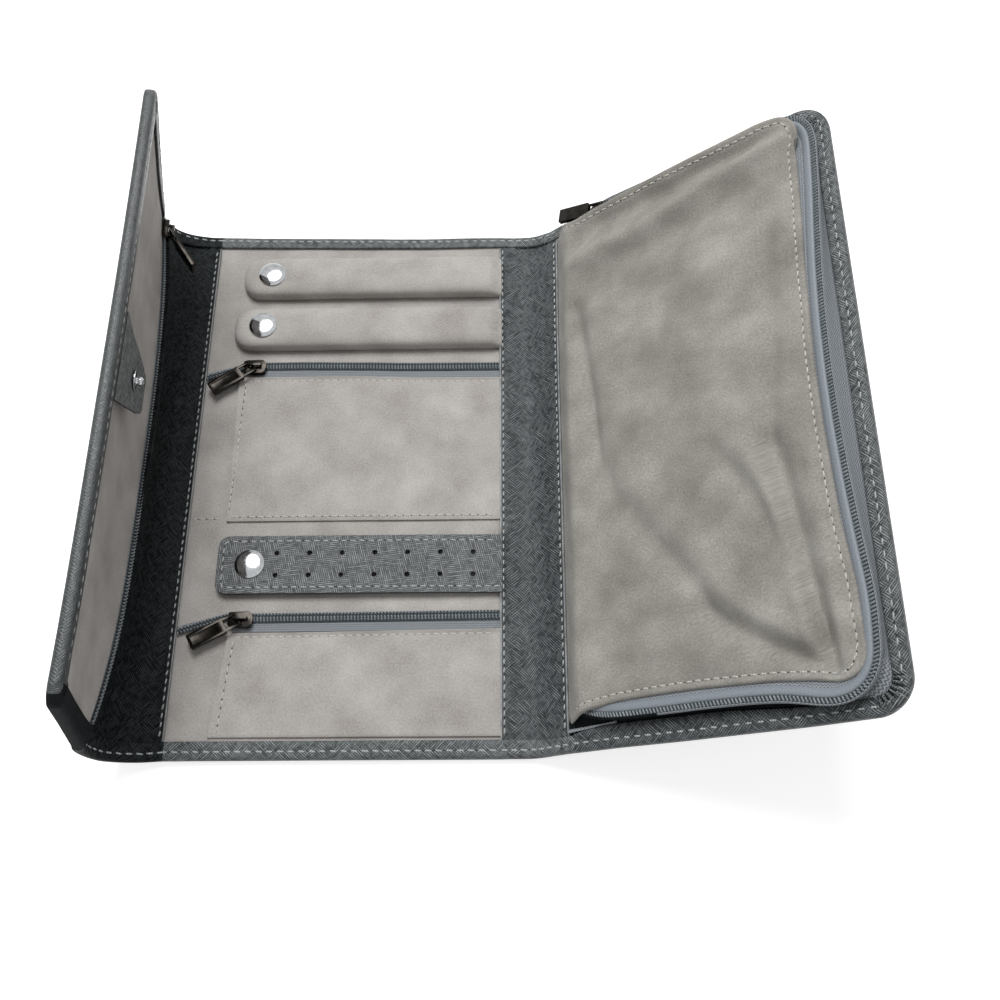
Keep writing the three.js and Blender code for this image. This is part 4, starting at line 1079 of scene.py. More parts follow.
def snap_cap(name, centre, body):
    """A snap's cap: a domed disc of 11.8 mm with its edge rolled under."""
    radius = 5.9
    profile = [(0, 0.1), (radius * 0.9, 0.1), (radius - 0.12, 0.2), (radius, 0.42),
               (radius - 0.05, 0.62), (radius - 0.25, 0.78), (radius - 0.55, 0.86)]
    for turn in stations(0, math.pi / 2, 10)[1:-1]:
        profile.append(((radius - 0.6) * math.cos(turn), 0.86 + math.sin(turn) ** 1.1))
    lathe(f"{name}_dome", profile + [(0, 1.86)], Vector(centre), UPRIGHT, body, name)


def socket_ring(name, top, axis, height, body):
    """A snap's female half: an eyelet with a sprung bore, on its top and facing along its axis."""
    profile = [(0, 0.4), (2.1, 0.4), (2.3, 0.6), (2.3, height - 0.1), (2.45, height), (3.3, height),
               (3.7, height - 0.1), (3.9, height - 0.35), (4.2, height * 0.5), (4.6, height * 0.35),
               (4.6, 0.08), (4.5, 0), (0, 0)]
    lathe(f"{name}_eyelet", profile, top, axis, body, name)


STUD_PROFILE = [(0, 0), (4.1, 0), (4.2, 0.1), (4.2, 0.35), (4.05, 0.48), (1.7, 0.52), (1.35, 0.62),
                (1.22, 0.85), (1.2, 1.05), (1.32, 1.25), (1.55, 1.42), (1.7, 1.7), (1.68, 2.1),
                (1.5, 2.55), (1.2, 2.95), (0.8, 3.24), (0.4, 3.37), (0, 3.4)]
LOW_STUD_PROFILE = [(0, 0), (3.5, 0), (3.6, 0.08), (3.6, 0.22), (3.5, 0.3), (1.3, 0.32), (1.22, 0.4),
                    (1.5, 0.55), (1.7, 0.7), (1.6, 0.85), (1.2, 1.0), (0.6, 1.05), (0, 1.05)]


def snap_stud(name, base, axis, body, profile=STUD_PROFILE):
    """A snap's male half: a flanged base with a ball."""
    lathe(f"{name}_post", profile, base, axis, body, name)


# Earring strap and closure tab: cut leather with painted edges


def cut_leather(name, outline, holes, thick, place, node, bevel=0.3):
    """A flat cut of doubled leather with punched holes and softened edges, riding on its node's
    body. The outline runs round in the piece's own plane."""
    data = bpy.data.curves.new(name, "CURVE")
    data.dimensions = "2D"
    data.fill_mode = "BOTH"
    data.extrude = (thick / 2 - bevel) * MM
    data.bevel_depth = bevel * MM
    data.bevel_resolution = 2
    data.offset = -bevel * MM
    for loop in [outline] + holes:
        spline = data.splines.new("POLY")
        spline.points.add(len(loop) - 1)
        for point, (x, y) in zip(spline.points, loop):
            point.co = (x * MM, y * MM, 0, 1)
        spline.use_cyclic_u = True
    source = bpy.data.objects.new(name, data)
    bpy.context.scene.collection.objects.link(source)
    mesh = bpy.data.meshes.new_from_object(source.evaluated_get(bpy.context.evaluated_depsgraph_get()))
    bpy.data.objects.remove(source)
    work = bmesh.new()
    work.from_mesh(mesh)
    bmesh.ops.remove_doubles(work, verts=work.verts, dist=1e-7)
    ends = [v.co.x for v in work.verts]
    for x in stations(min(ends), max(ends), 24)[1:-1]:
        cut(work, (x, 0, 0), (1, 0, 0))
    bmesh.ops.recalc_face_normals(work, faces=work.faces)
    # Faces by the way they face: the flat faces take the leather, the rounded rim a pale edge paint as
    # painted highlight, and the upright side a dark one as painted shade
    sides = [0 if abs(f.normal.z) > 0.8 else 2 if f.normal.z < 0.3 else 1 for f in work.faces]
    local, faces, sides = taken_out(work, sides)
    points = [(x / MM, y / MM, z / MM + thick / 2) for x, y, z in local]
    obj = mesh_from(name, points, faces, place)
    dress(obj, STRAP_FINISH, node, [node])
    for material in (EDGE_HIGHLIGHT_FINISH, EDGE_SHADE_FINISH):
        obj.data.materials.append(material)
    obj.data.polygons.foreach_set("material_index", sides)


def arc(cx, cy, radius, start, end, count=10):
    """Points round a centre, from one angle in degrees to another."""
    return [(cx + radius * math.cos(math.radians(a)), cy + radius * math.sin(math.radians(a)))
            for a in stations(start, end, count + 1)]


def make_strap():
    left, root, r, inset = -49.0, BAND_EDGE, 4.5, 2.4
    low, high = STRAP_SPAN
    middle = (low + high) / 2
    outline = [(root, low), (root, high)] + arc(left + r, high - r, r, 90, 180)
    outline += arc(left + r, low + r, r, 180, 270)
    holes = [arc(-25.6 + 12.9 * column, middle + row * 4.6, 1.0, 360, 15, 22)
             for column in range(7) for row in (-1, 1)]

    def place(x, y, z):
        dip = -0.5 * smooth(30, 62, x)
        return Vector((x, y, z + 4.9 + dip + 0.12 * ripple(x, y, 30, 2.2)))

    cut_leather("earring_strap_leather", outline, holes, 2.0, place, "earring_strap")
    path = [(root - 1, low + inset)] + arc(left + r, low + r, r - inset, 270, 180, 6)
    path += arc(left + r, high - r, r - inset, 180, 90, 6) + [(root - 1, high - inset)]
    stitches("earring_strap_stitches",
             path_on(place, lambda t: UPRIGHT, [(x, y, 2.02) for x, y in path]), LEATHER_THREAD,
             "earring_strap", size=(2.3, 0.55, 0.4))
    snap = left + 13
    snap_cap("earring_strap_cap", (snap, middle, 6.8), "earring_strap")
    socket_ring("earring_strap_socket", Vector((snap, middle, 4.85)), -UPRIGHT, 1.0, "earring_strap")
    snap_stud("earring_strap_stud", Vector((snap, middle, 3.35)), UPRIGHT, "middle", LOW_STUD_PROFILE)


TAB_ROOT_T = FLAP_FOLD + 63.7
TAB_RISE = math.tan(math.radians(8))


def make_tab():
    length, corner, root, tip = 30.0, 5.0, 17.5, 9.5
    outline = [(0, -root), (0, root), (-length + corner, tip)]
    outline += [(-length + corner * (1 - math.sin(a)), tip - 0.6 - corner * (1 - math.cos(a)) * 0.9)
                for a in np.linspace(0.2, math.pi / 2, 8)]
    outline += [(x, -y) for x, y in outline[:1:-1]]

    def place(x, y, z):
        curl = 0.9 * smooth(8, 30, -x) * (abs(y) / 12) ** 2
        return LEFT(TAB_ROOT_T + x, y + 6, HEM_H + (-x) * TAB_RISE + z + curl)

    cut_leather("closure_tab_leather", outline, [], 1.4, place, "closure_tab", 0.25)
    base = place(-18, 0, 1.38)
    snap_stud("closure_stud", base, (place(-18, 0, 3) - base).normalized(), "closure_tab")


# Zips


TOOTH_PROFILE = [(-0.5, 0.6), (-0.42, 0.92), (0.25, 1.0), (0.42, 1.05), (0.5, 0.7)]
TOOTH_PITCH = 1.3


def teeth(name, path, body, node, length, bed=(-0.45, 0.5)):
    """One row of coil teeth over its core cord, darkened as painted shade between the teeth. The path gives
    each tooth's middle, its direction across the chain and the way up. The coil is wound, so its teeth lie at
    a slant."""
    verts, faces, cord = [], [], []
    for centre, side, up in path:
        turned = Matrix.Rotation(math.radians(28), 3, up) @ side
        along = turned.cross(up)

        def skin(share, swell, turn):
            turn += math.pi / 6
            return (centre + turned * (share * length) + along * (math.cos(turn) * 0.38 * swell)
                    + up * (math.sin(turn) * 0.6 * swell - 0.2 * (1 - swell)))

        bead(verts, faces, TOOTH_PROFILE, skin)
        cord += [centre + side * (x * length) + up * z
                 for x, z in ((bed[0], -0.02), (bed[1], 0.02), (bed[1], -0.5), (bed[0], -0.5))]
    start = len(verts)
    verts += cord
    walls(faces, start, 4, len(path))
    faces += [tuple(start + j for j in range(4)), tuple(len(verts) - 1 - j for j in range(4))]
    obj = mesh_from(name, [tuple(v) for v in verts], faces, sharp=60)
    dress(obj, COIL_FINISH, body, [node])
    finish_faces(obj, lambda face: face[0] >= start, CORE_SHADE_FINISH)
    outward(obj)


def row_of(line, place, level, inward, offset=0.0):
    """Tooth places along a line of (t, y) stations at even pitch."""
    pts = np.array(line, float)
    steps = lengths_along(pts)
    path = []
    for d in np.arange(0.5 + offset, steps[-1] - 0.3, TOOTH_PITCH):
        t, y = (float(np.interp(d, steps, pts[:, k])) for k in (0, 1))
        t2, y2 = (float(np.interp(d + 0.4, steps, pts[:, k])) for k in (0, 1))
        run = math.hypot(t2 - t, y2 - y) or 1.0
        nt, ny = -(y2 - y) / run * inward, (t2 - t) / run * inward
        centre = place(t, y, level)
        side = (place(t + nt * 0.5, y + ny * 0.5, level) - centre).normalized()
        up = (place(t, y, level + 0.5) - centre).normalized()
        path.append((centre, side, up))
    return path


# The tape's fold beside the coil: distance from the tape's inner edge, and share of its height
TAPE_FOLD = [(0, 0.15), (0.75, 0.15), (0.85, 0.6), (1.05, 0.93), (1.4, 1.0), (2.0, 0.85), (2.7, 0.4),
             (3.2, 0.05)]


def tape_strip(name, rows, under, place, body, node, wave=0.0, ridge=0.75, folded=True):
    """A zip tape: rows is a list of (t, edge by the chain, outer edge). Beside the coil the tape
    is folded up into a smooth low ridge, and past it the weave lies flat."""
    thick = 0.6
    upper, lower = [], []
    for i, (t, inner, rim) in enumerate(rows):
        way = math.copysign(1.0, rim - inner)
        width = abs(rim - inner)
        at = [(d, high) for d, high in TAPE_FOLD if d < width - 0.2]
        at += [(TAPE_FOLD[-1][0], 0.0)] * (len(TAPE_FOLD) - len(at))
        at = [(min(d, width - 0.2), high) for d, high in at] + [(width - 0.1, 0.0), (width, 0.0)]
        up, low = [], []
        for k, (d, high) in enumerate(at):
            y = inner + way * d
            rise = wave * ripple(t, y, 12, 6.1)
            soft = 0.1 if k in (0, len(at) - 1) or i in (0, len(rows) - 1) else 0.0
            up.append((t, y, under + thick + ridge * high + rise - soft))
            low.append((t, y, under + rise))
        upper.append(up)
        lower.append(low)
    obj = slab(name, upper, lower, place)
    dress(obj, TAPE_FINISH, body, [node])
    columns = len(TAPE_FOLD) + 2
    finish_faces(obj, lambda face: folded and max(face) < len(rows) * columns
                 and max(v % columns for v in face) < len(TAPE_FOLD), FOLD_FINISH)


# Far edge of each pocket's suede
POCKET_TOP = {"upper": 41.4, "lower": -68.4}
# How far each pocket zip bows off its straight line, along its length
ZIP_BOW = {"upper": [(-64, 1.3), (-22, 1.45), (4, 1.0), (20, 0.5), (64, 0.2)],
           "lower": [(-64, -0.3), (-30, -0.3), (64, 0.35)]}
# The same for the pocket's turned edge below it
POCKET_BOW = {"upper": [(-64, 2.0), (0, 2.0), (25, 1.0), (64, 0.7)],
              "lower": [(-64, -0.85), (-20, -0.8), (64, 0.2)]}


def pocket_bow(word, x, y):
    """How far the pocket's bowed far edge carries a point with it."""
    high = POCKET_TOP[word]
    return blend_list(POCKET_BOW[word], x) * smooth(high - 14, high, y)


def tail_drop(x):
    """The chain's free tail sinks towards the near end left of the slider."""
    return 5.6 * max(0.0, (-44 - x) / 17.5) if x < -44 else 0.0


def make_pocket_zip(word, y0):
    """The chain lies above the tape: slanted loops between two grooves darkened as painted shade, and beyond
    the far groove the row of sewing that holds the coil."""
    xs = stations(-62.3, BAND_EDGE, 60)

    def middle(x):
        return y0 + blend_list(ZIP_BOW[word], x) - tail_drop(x)

    tapes = (("upper", [(x, middle(x) + 0.3, middle(x) + 2.7 + 0.12 * tail_drop(x)) for x in xs], 0.1),
             ("lower", [(x, middle(x) - 0.3, middle(x) - 5.0) for x in xs if x > -43], 0.25))
    for part, rows, ridge in tapes:
        tape_strip(f"{word}_zip_{part}_woven_tape", rows, HEM_H, flat_place, "middle",
                   f"{word}_zip_{part}_tape", 0.12, ridge, False)
    for part, at, inward, coil, start, level, length, bed in (
            ("upper_teeth", 0.46, -1, "upper", -63, 4.8, 0.98, (-1.1, 0.5)),
            ("lower_teeth", -0.46, 1, "lower", -42, 4.8, 0.98, (-1.1, 0.5)),
            ("sewing", 2.0, -1, "upper", -63, 4.4, 0.8, (-0.45, 0.5))):
        line = [(x, middle(x) + at) for x in xs if x > start]
        teeth(f"{word}_zip_{part}", row_of(line, flat_place, level, inward), "middle",
              f"{word}_zip_{coil}_coil", length, bed)


def cast_copy(name, node, body, shift, soften=0.22):
    """A die-cast part on the frame's own shape, with its edges softened as casting leaves them."""
    data = bpy.data.objects[node].data.copy()
    data.name = name
    obj = bpy.data.objects.new(name, data)
    bpy.context.scene.collection.objects.link(obj)
    work = bmesh.new()
    work.from_mesh(data)
    bmesh.ops.remove_doubles(work, verts=work.verts, dist=2e-6)
    bmesh.ops.dissolve_limit(work, angle_limit=math.radians(3), verts=work.verts, edges=work.edges)
    for vert in work.verts:
        vert.co += Vector(shift) * MM
    work.to_mesh(data)
    work.free()
    round_off = obj.modifiers.new("soften", "BEVEL")
    round_off.width = soften * MM
    round_off.segments = 3
    round_off.limit_method = "ANGLE"
    round_off.angle_limit = math.radians(28)
    settle(obj)
    obj.data.materials.clear()
    obj.data.polygons.foreach_set("use_smooth", [True] * len(obj.data.polygons))
    obj.data.set_sharp_from_angle(angle=math.radians(45))
    dress(obj, GUNMETAL_FINISH, body, [node])


def moved(side, t, y, sink=0.0):
    """How far the leather's own shape carries a point from the plain layout."""
    rise, shift = side.lift(t, y)
    return side.up(t) * (rise - sink) + Vector((0, shift, 0))


def make_sliders():
    """Each slider and its puller lie on the frame's, moved with the chain that they run on."""
    for stem, shift in (("upper_pocket", (0.9, 1.5, 0)), ("lower_pocket", (0.4, -0.4, 0)),
                        ("flap", moved(LEFT, FLAP_ZIP, 102)),
                        ("case", moved(RIGHT, CASE_FOLD + 27, 108.85, 3.0))):
        word = stem.split("_")[0]
        cast_copy(f"{stem}_slider_body", f"{stem}_slider", f"{word}_slider", shift)
        cast_copy(f"{stem}_pull_tag", f"{stem}_puller", f"{word}_puller", shift, 0.18)


# Pockets on the middle


def pocket_panel(word, left_at, low):
    """A suede pocket front: sewn round three sides, so it is a little full in the middle, with
    a turned top edge along the zip. It gives the height of its face for the stitches."""
    high, under = POCKET_TOP[word], HEM_H

    def point(u, v, lower_face=False):
        y = low + (high - low) * v
        corner = 3.2
        into = max(0.0, corner - (high - y))
        left = left_at(y)
        if into:
            left += corner - math.sqrt(max(0.0, corner ** 2 - into ** 2))
        x = left + (BAND_EDGE - left) * u
        edge = min(x - left, high - y)
        full = math.sin(math.pi * min(1, u)) ** 0.4 * math.sin(math.pi * v) ** 0.5
        rise = 0.55 * full + 0.22 * ripple(x, y, 26, 4.4) * full
        if word == "lower":
            rise += 0.35 * math.exp(-(((x + 31) * 0.26 + y + 89) / 9) ** 2) * full
        rise += 0.5 * math.exp(-(edge / 0.8) ** 2) - 0.2 * math.exp(-((edge - 1.7) / 0.6) ** 2)
        rim = 0.22 if u in (0, 1) or v in (0, 1) else 0.0
        y += pocket_bow(word, x, y)
        if lower_face:
            return (x, y, under + 0.05 * rise + rim)
        return (x, y, under + 0.8 + rise - rim)

    us = [0, 0.006, 0.012, 0.02] + stations(0.035, 0.995, 46) + [1]
    vs = [0, 0.012] + stations(0.03, 0.95, 34) + [0.965, 0.978, 0.988, 0.995, 1]
    top, bottom = ([[point(u, v, face) for v in vs] for u in us] for face in (False, True))
    obj = slab(f"{word}_pocket_suede", top, bottom, flat_place, 50)
    dress(obj, SUEDE_FINISH, "middle", [f"{word}_pocket_panel"])
    return lambda x, y: point((x - left_at(y)) / (BAND_EDGE - left_at(y)), (y - low) / (high - low))[2] + 0.05


def make_pockets():
    upper = pocket_panel("upper", lambda y: -47.6 - 0.012 * (y + 22), -22.6)
    lower = pocket_panel("lower", lambda y: -42.6 + 0.1 * (y + 70), -109.3)
    rows = (("upper_pocket_top", upper, [(x, 39.7) for x in stations(-44.8, 62, 40)]),
            ("upper_pocket_side", upper,
             [(-45.3 - (41 - y) * 0.028, y) for y in stations(39, -20.5, 24)]),
            ("upper_pocket_foot", upper, [(x, -20.9) for x in stations(-45, 62, 40)]),
            ("upper_lining_seam", lambda x, y: 3.36, [(x, -21.2) for x in stations(-62, -49, 8)]),
            ("lower_pocket_top", lower, [(x, -70.1) for x in stations(-39.5, 62, 40)]),
            ("lower_pocket_side", lower, [(-39.9 + (y + 70) * 0.09, y) for y in stations(-72, -108, 16)]))
    for name, height, points in rows:
        word = name.split("_")[0]
        path = [(Vector((x, y + pocket_bow(word, x, y), height(x, y))), UPRIGHT) for x, y in points]
        stitches(f"{name}_stitches", path, SUEDE_THREAD, "middle",
                 size=(2.1, 0.6, 0.42), pitch=3.3, mark=(0.4, 0.26))


# Closure flap


def make_flap():
    edge = FLAP_EDGE - 1.3
    line_panel("flap", "left_flap", LEFT,
               (even(FLAP_FOLD + 7.3, edge, 26), round_rows(edge, FLAP_CORNER - 1.3)),
               (even(FLAP_FOLD + 2.3, edge, 16), round_rows(edge, FLAP_CORNER - 1.3, 24)),
               lambda t, y: SUEDE_UNDER + 0.1 * ripple(t, y, 21, 7.2))
    for part, low, high, offset, inward in (("inner", -0.3, -3.9, -0.42, 1),
                                            ("outer", 0.3, 1.0, 0.42, -1)):
        rows = [(y, FLAP_ZIP + low, FLAP_ZIP + high) for y in stations(-114, 114, 70)]
        tape_strip(f"flap_zip_{part}_woven_tape", rows, SUEDE_UNDER, lambda y, t, h: LEFT(t, y, h),
                   "left_flap", f"flap_zip_{part}_tape")
        line = [(FLAP_ZIP + offset, y) for y in stations(-109, 109, 80)]
        teeth(f"flap_zip_{part}_teeth", row_of(line, LEFT, 4.0, inward, 0.62 * (part == "outer")),
              "left_flap", f"flap_zip_{part}_coil", 1.0)


# Case and door


# Middle of the case's chain, as (s, y) pairs from the spine round the near and far corners
CHAIN = [(4, -101.5), (10, -104.2), (16, -106.4), (21, -107.6), (27, -108.1), (41, -108.5), (56, -108.7),
         (66, -109.0), (75, -109.4), (85, -110.3), (92, -111.8), (96, -112.9), (100.5, -113.7),
         (104.6, -113.6), (108, -112.6), (110.4, -111.2), (112.4, -109.4), (114, -107.2),
         (115.2, -104.7), (116.1, -101.8), (116.4, -97), (116.8, -91.6), (117, -86), (116.9, -80),
         (115.4, -60), (114.2, -40), (113.5, -20), (113.3, 0), (113.7, 20), (114.7, 40), (116.3, 60),
         (117.6, 74), (118.4, 86), (119, 95), (119, 99.1), (118.4, 102.4), (117.2, 105.2),
         (115.4, 107.9), (112.8, 109.9), (109.5, 111), (104, 111.2), (96, 110.4), (84, 109.3),
         (64, 108.7), (40, 108.5), (20, 108.3), (4, 107.6)]


def chain_line(count=260):
    """Even points along the chain's middle with their outward directions."""
    rough = np.array(CHAIN, float)
    reach = lengths_along(rough)
    at = np.linspace(0, reach[-1], count)
    line = np.stack([np.interp(at, reach, rough[:, k]) for k in (0, 1)], 1)
    for _ in range(6):
        line[1:-1] = (line[:-2] + 2 * line[1:-1] + line[2:]) / 4
    way = np.gradient(line, axis=0)
    way /= np.hypot(way[:, 0], way[:, 1])[:, None]
    return line, np.stack([way[:, 1], -way[:, 0]], 1)


CHAIN_AT, CHAIN_OUT = chain_line()


def foot_gap(s, y):
    """Distance out to the case's inner floor outline, along which the gusset is sewn."""
    radius, edge, half = 8.0, 118.0, 111.5
    if y < 0:
        half += blend_list(CASE_NEAR_BULGE, s) - blend_list(CASE_NEAR_WIDER, s)
    q = (s - edge + radius, abs(y) - half + radius)
    return radius - math.hypot(max(q[0], 0), max(q[1], 0)) - min(max(q[0], q[1]), 0)


def foot_reach(k):
    """How far out from the chain's middle the gusset's foot lies at a point of the chain."""
    (s, y), (out_s, out_y) = CHAIN_AT[k], CHAIN_OUT[k]
    reach = 0.0
    for _ in range(14):
        reach += foot_gap(s + out_s * reach, y + out_y * reach)
    return max(-4.0, min(7.0, reach))


def far_sag(s, y):
    """Share of the soft top's sinking behind the door's far edge."""
    return smooth(88, 103, y) * (1 - smooth(96, 108, s))


def case_point(t, y, h):
    """The case's soft top at (t, y, h): sagging behind the door's far edge, and closed up flat
    towards the spine."""
    s = t - CASE_FOLD
    squash = 1 - 0.45 * (1 - smooth(10, 26, s)) - 0.4 * (1 - smooth(4, 12, s))
    return RIGHT(t, y, HEM_H + (h - HEM_H) * (1 - 0.4375 * far_sag(s, y)) * squash)


def chain_range(from_s):
    """Points of the chain, from the near side's root to the far side at s."""
    return [k for k in range(len(CHAIN_AT)) if CHAIN_AT[k][1] < 0 or CHAIN_AT[k][0] >= from_s]


def offset_line(out, from_s):
    """The chain's middle line moved outwards, as (t, y) pairs."""
    return [(CASE_FOLD + float(CHAIN_AT[k][0] + CHAIN_OUT[k][0] * out),
             float(CHAIN_AT[k][1] + CHAIN_OUT[k][1] * out)) for k in chain_range(from_s)]


def tape_lap(s, y, out_s, out_y):
    """How far the door's tape rises at its inner edge to lie under the suede at the far side."""
    share = far_sag(s, y)
    if not share:
        return 0.0
    s, y = s - 6.5 * out_s, y - 6.5 * out_y
    gap = blend_list(DOOR_FAR, s) - y
    under = door_skin(s, y, gap, max(0.0, min(gap, DOOR_EDGE_S - s))) - 1.2
    return share * (HEM_H + (under - HEM_H) / (1 - 0.44 * far_sag(s, y)) - 9.4)


def rim_sweep(name, section, from_s, body, node):
    """A closed strip of tape along the chain. Each point of its section is the distance out from
    the chain's middle, the height, and the share by which it keeps to the gusset's foot instead."""
    along = chain_range(from_s)
    feet = {k: foot_reach(k) for k in along}

    def ring(k):
        (s, y), (out_s, out_y) = CHAIN_AT[k], CHAIN_OUT[k]
        tuck = 3.2 * smooth(-98, -106, y) if y < 0 else 0.0
        lap = tape_lap(s, y, out_s, out_y) if body == "case_door" else 0.0
        points = []
        for out, h, foot in section:
            h += lap * smooth(2.0, 6.0, -out)
            d = out * (1 - foot) + (feet[k] + out) * foot
            d -= tuck * math.exp(-((h - 6.2) / 1.5) ** 2) if foot else 0.0
            points.append((CASE_FOLD + s + out_s * d, y + out_y * d, h))
        return points

    length = lengths_along(CHAIN_AT)
    across = lengths_along(np.array(section)[:, :2])
    flat = np.array([(length[k], reach) for k in along for reach in across])
    obj = tube(name, along, ring, case_point, lay=lambda p: flat)
    return dress(obj, TAPE_FINISH, body, [node])


# Sections of the two tapes: the gusset's wall, turned over the outer coil, and the door's, turned
# over the inner one and lying on under the suede
GUSSET = [(2.6, 3.3, 1), (0.1, 3.5, 1), (0.0, 4.6, 0.85), (0.2, 6.2, 0.6), (0.9, 7.8, 0.3),
          (1.45, 9.0, 0.08), (1.5, 9.8, 0), (1.3, 10.25, 0), (1.05, 10.3, 0), (0.9, 9.9, 0),
          (0.85, 9.35, 0), (-0.5, 9.3, 0), (-0.5, 8.95, 0), (0.8, 8.7, 0.05), (0.2, 7.6, 0.3),
          (-0.5, 6.2, 0.6), (-0.7, 4.6, 0.85), (-0.6, 3.3, 1)]
DOOR_TAPE = [(-0.85, 9.2, 0), (-0.85, 9.9, 0), (-1.05, 10.5, 0), (-1.5, 10.8, 0), (-2.3, 10.75, 0),
             (-3.2, 10.4, 0), (-3.9, 9.9, 0), (-4.2, 9.6, 0), (-8.4, 9.4, 0), (-8.5, 9.1, 0),
             (-8.4, 8.8, 0), (-3.9, 8.9, 0), (-1.0, 8.9, 0)]


def make_case_zip():
    wall = rim_sweep("case_gusset_woven_tape", GUSSET, 4, "right_case", "case_gusset_tape")
    sides = len(GUSSET)
    near_end = max(k for k, p in enumerate(CHAIN_AT) if p[1] < -98 and p[0] < 99)

    # Painted shade on the gusset's lower wall along the near side and at its root
    def in_shade(face):
        low = len(face) == 4 and max(v % sides for v in face) <= 5
        root = min(face) // sides < 22
        return max(face) // sides <= near_end and (low or root)

    finish_faces(wall, in_shade, SHADE_FINISH)
    teeth("case_outer_teeth", row_of(offset_line(0.42, 4), case_point, 10.0, 1), "right_case",
          "case_coil", 1.0)
    teeth("case_door_teeth", row_of(offset_line(-0.42, 33), case_point, 10.0, -1, 0.62), "case_door",
          "case_door_coil", 1.0)
    strip = rim_sweep("case_door_woven_tape", DOOR_TAPE, 33, "case_door", "case_door_tape")
    finish_faces(strip, lambda face: len(face) == 4 and max(v % len(DOOR_TAPE) for v in face) <= 7,
                 FOLD_FINISH)

    def end_row(t):
        s = t - CASE_FOLD
        return even(-HALF + 6.5 + 0.085 * s, -HALF + 7.9 + 0.03 * s, 4)

    end_strip = leaf("case_gusset_sewn_end", even(CASE_FOLD + 1.6, CASE_FOLD + 22, 16), end_row,
                     lambda t, y: 4.45, 0.5, RIGHT)
    dress(end_strip, TAPE_FINISH, "right_case", ["case_gusset_tape"])


def make_case():
    edge = CASE_EDGE - 1.3
    line_panel("case", "right_case", RIGHT,
               (even(CASE_FOLD + 2.3, edge, 30), round_rows(edge, CASE_CORNER - 1.3)),
               (even(CASE_FOLD + 2.3, edge, 12), round_rows(edge, CASE_CORNER - 1.3, 24)),
               lambda t, y: SUEDE_UNDER + 0.1 * ripple(t, y, 25, 9.3))
    make_case_zip()
    snap = CASE_FOLD + 74.3
    socket_ring("closure_socket", RIGHT(snap, 6, -0.05), -RIGHT.up(snap), 2.2, "right_case")


# Edges of the door's suede: y of the far and the near one at each s, s of the outer one at each y,
# and how high the lip along the far one stands
DOOR_FAR = [(0, 114.2), (3, 114.2), (8.4, 111.7), (12, 109.6), (16.4, 107.8), (21, 106.9), (27, 106.6),
            (42, 107.6), (71, 109.0), (99, 110.2), (111, 109.6), (118, 109.6)]
DOOR_NEAR = [(0, -107.4), (3.7, -107.2), (7, -106.6), (14, -104.6), (26, -103.4), (42, -103.2),
             (57, -103.4), (82, -104.8), (94, -106.4), (101, -107.8), (118, -107.8)]
DOOR_OUTER = [(-112, 113.4), (-96, 113.4), (-90, 113.2), (-78, 113.0), (-55, 110.6), (-21, 109.2),
              (5, 108.9), (34, 109.8), (52, 110.5), (70, 111.5), (91, 112.3), (95.4, 112.5),
              (97.5, 114.2), (100, 114.5), (112, 115.4)]
DOOR_LIP = [(0, 0.0), (8, 0.8), (20, 2.8), (42, 3.3), (71, 4.0), (99, 4.4), (110, 3.6), (118, 2.6)]
# Where the door springs from the leather, and at what height, its plain outer edge, and its corners
DOOR_ROOT, DOOR_ROOT_H = 0.9, 3.3
DOOR_EDGE_S = 111.0
DOOR_CORNER = 9.0

# Each fold of the door: its points (s, y), half width and height. The suede stands fuller than
# these heights by one factor.
FULLNESS = 2.7
DOOR_FOLDS = [
    ([(4, 96), (20, 98.5), (40, 100.5), (60, 100.5), (75, 103), (104, 104)], 5.0, -1.3),
    ([(6, 82), (18, 85), (38, 86), (57, 88.5), (81, 95), (108, 100)], 4.5, 1.05),
    ([(10, 68), (15, 71), (37, 77), (57, 79.5), (80, 83), (98, 88)], 7.0, -1.0),
    ([(12, 74), (16, 54), (19, 31), (21, 12), (22, -8)], 3.4, -0.9),
    ([(23, 66), (26, 40), (30, 10)], 9.0, 0.5),
    ([(99, 88), (95.5, 41), (95.5, 17), (92, -10), (90, -22)], 5.0, -0.7),
    ([(80, 70), (78, 30), (72, 0)], 9.0, 0.5),
    ([(88, -12), (90, -20), (94, -45), (98, -71), (101.5, -92), (103, -104)], 4.2, -1.5),
    ([(64, -8), (67, -16), (85.5, -46), (94.4, -70), (100, -90), (103, -104)], 4.0, -0.7),
    ([(76, -14), (86, -32), (93, -62), (97, -92)], 4.5, 1.0),
    ([(54, -70), (60, -77), (79, -90), (88, -95.5), (101, -103)], 4.2, -1.3),
    ([(60, -64), (76, -80), (96, -94)], 5.0, 0.9),
    ([(16, 4), (19.5, -7), (29, -29), (51, -58), (64, -77)], 6.0, -0.7),
    ([(28, -8), (44, -34), (66, -62)], 8.0, 0.6),
    ([(20, -60), (40, -84), (70, -98)], 7.0, 0.4),
    ([(104, -20), (105, -60), (106, -88)], 3.5, 0.5),
]


def fold_height(s, y):
    """Height that the door's folds add, each rising over its first 14 mm and narrowing onward."""
    total = 0.0
    for points, width, height in DOOR_FOLDS:
        best, place, run = 1e9, 0.0, 0.0
        for (s0, y0), (s1, y1) in zip(points, points[1:]):
            ds, dy = s1 - s0, y1 - y0
            size = math.hypot(ds, dy)
            share = min(1.0, max(0.0, ((s - s0) * ds + (y - y0) * dy) / (size * size)))
            gap = math.hypot(s - s0 - share * ds, y - y0 - share * dy)
            if gap < best:
                best, place = gap, run + share * size
            run += size
        fade = smooth(0, 14, place) * (1 - 0.45 * smooth(run - 10, run, place))
        width *= 1.1 - 0.5 * place / run
        total += FULLNESS * height * fade * math.exp(-(best / width) ** 2)
    return total


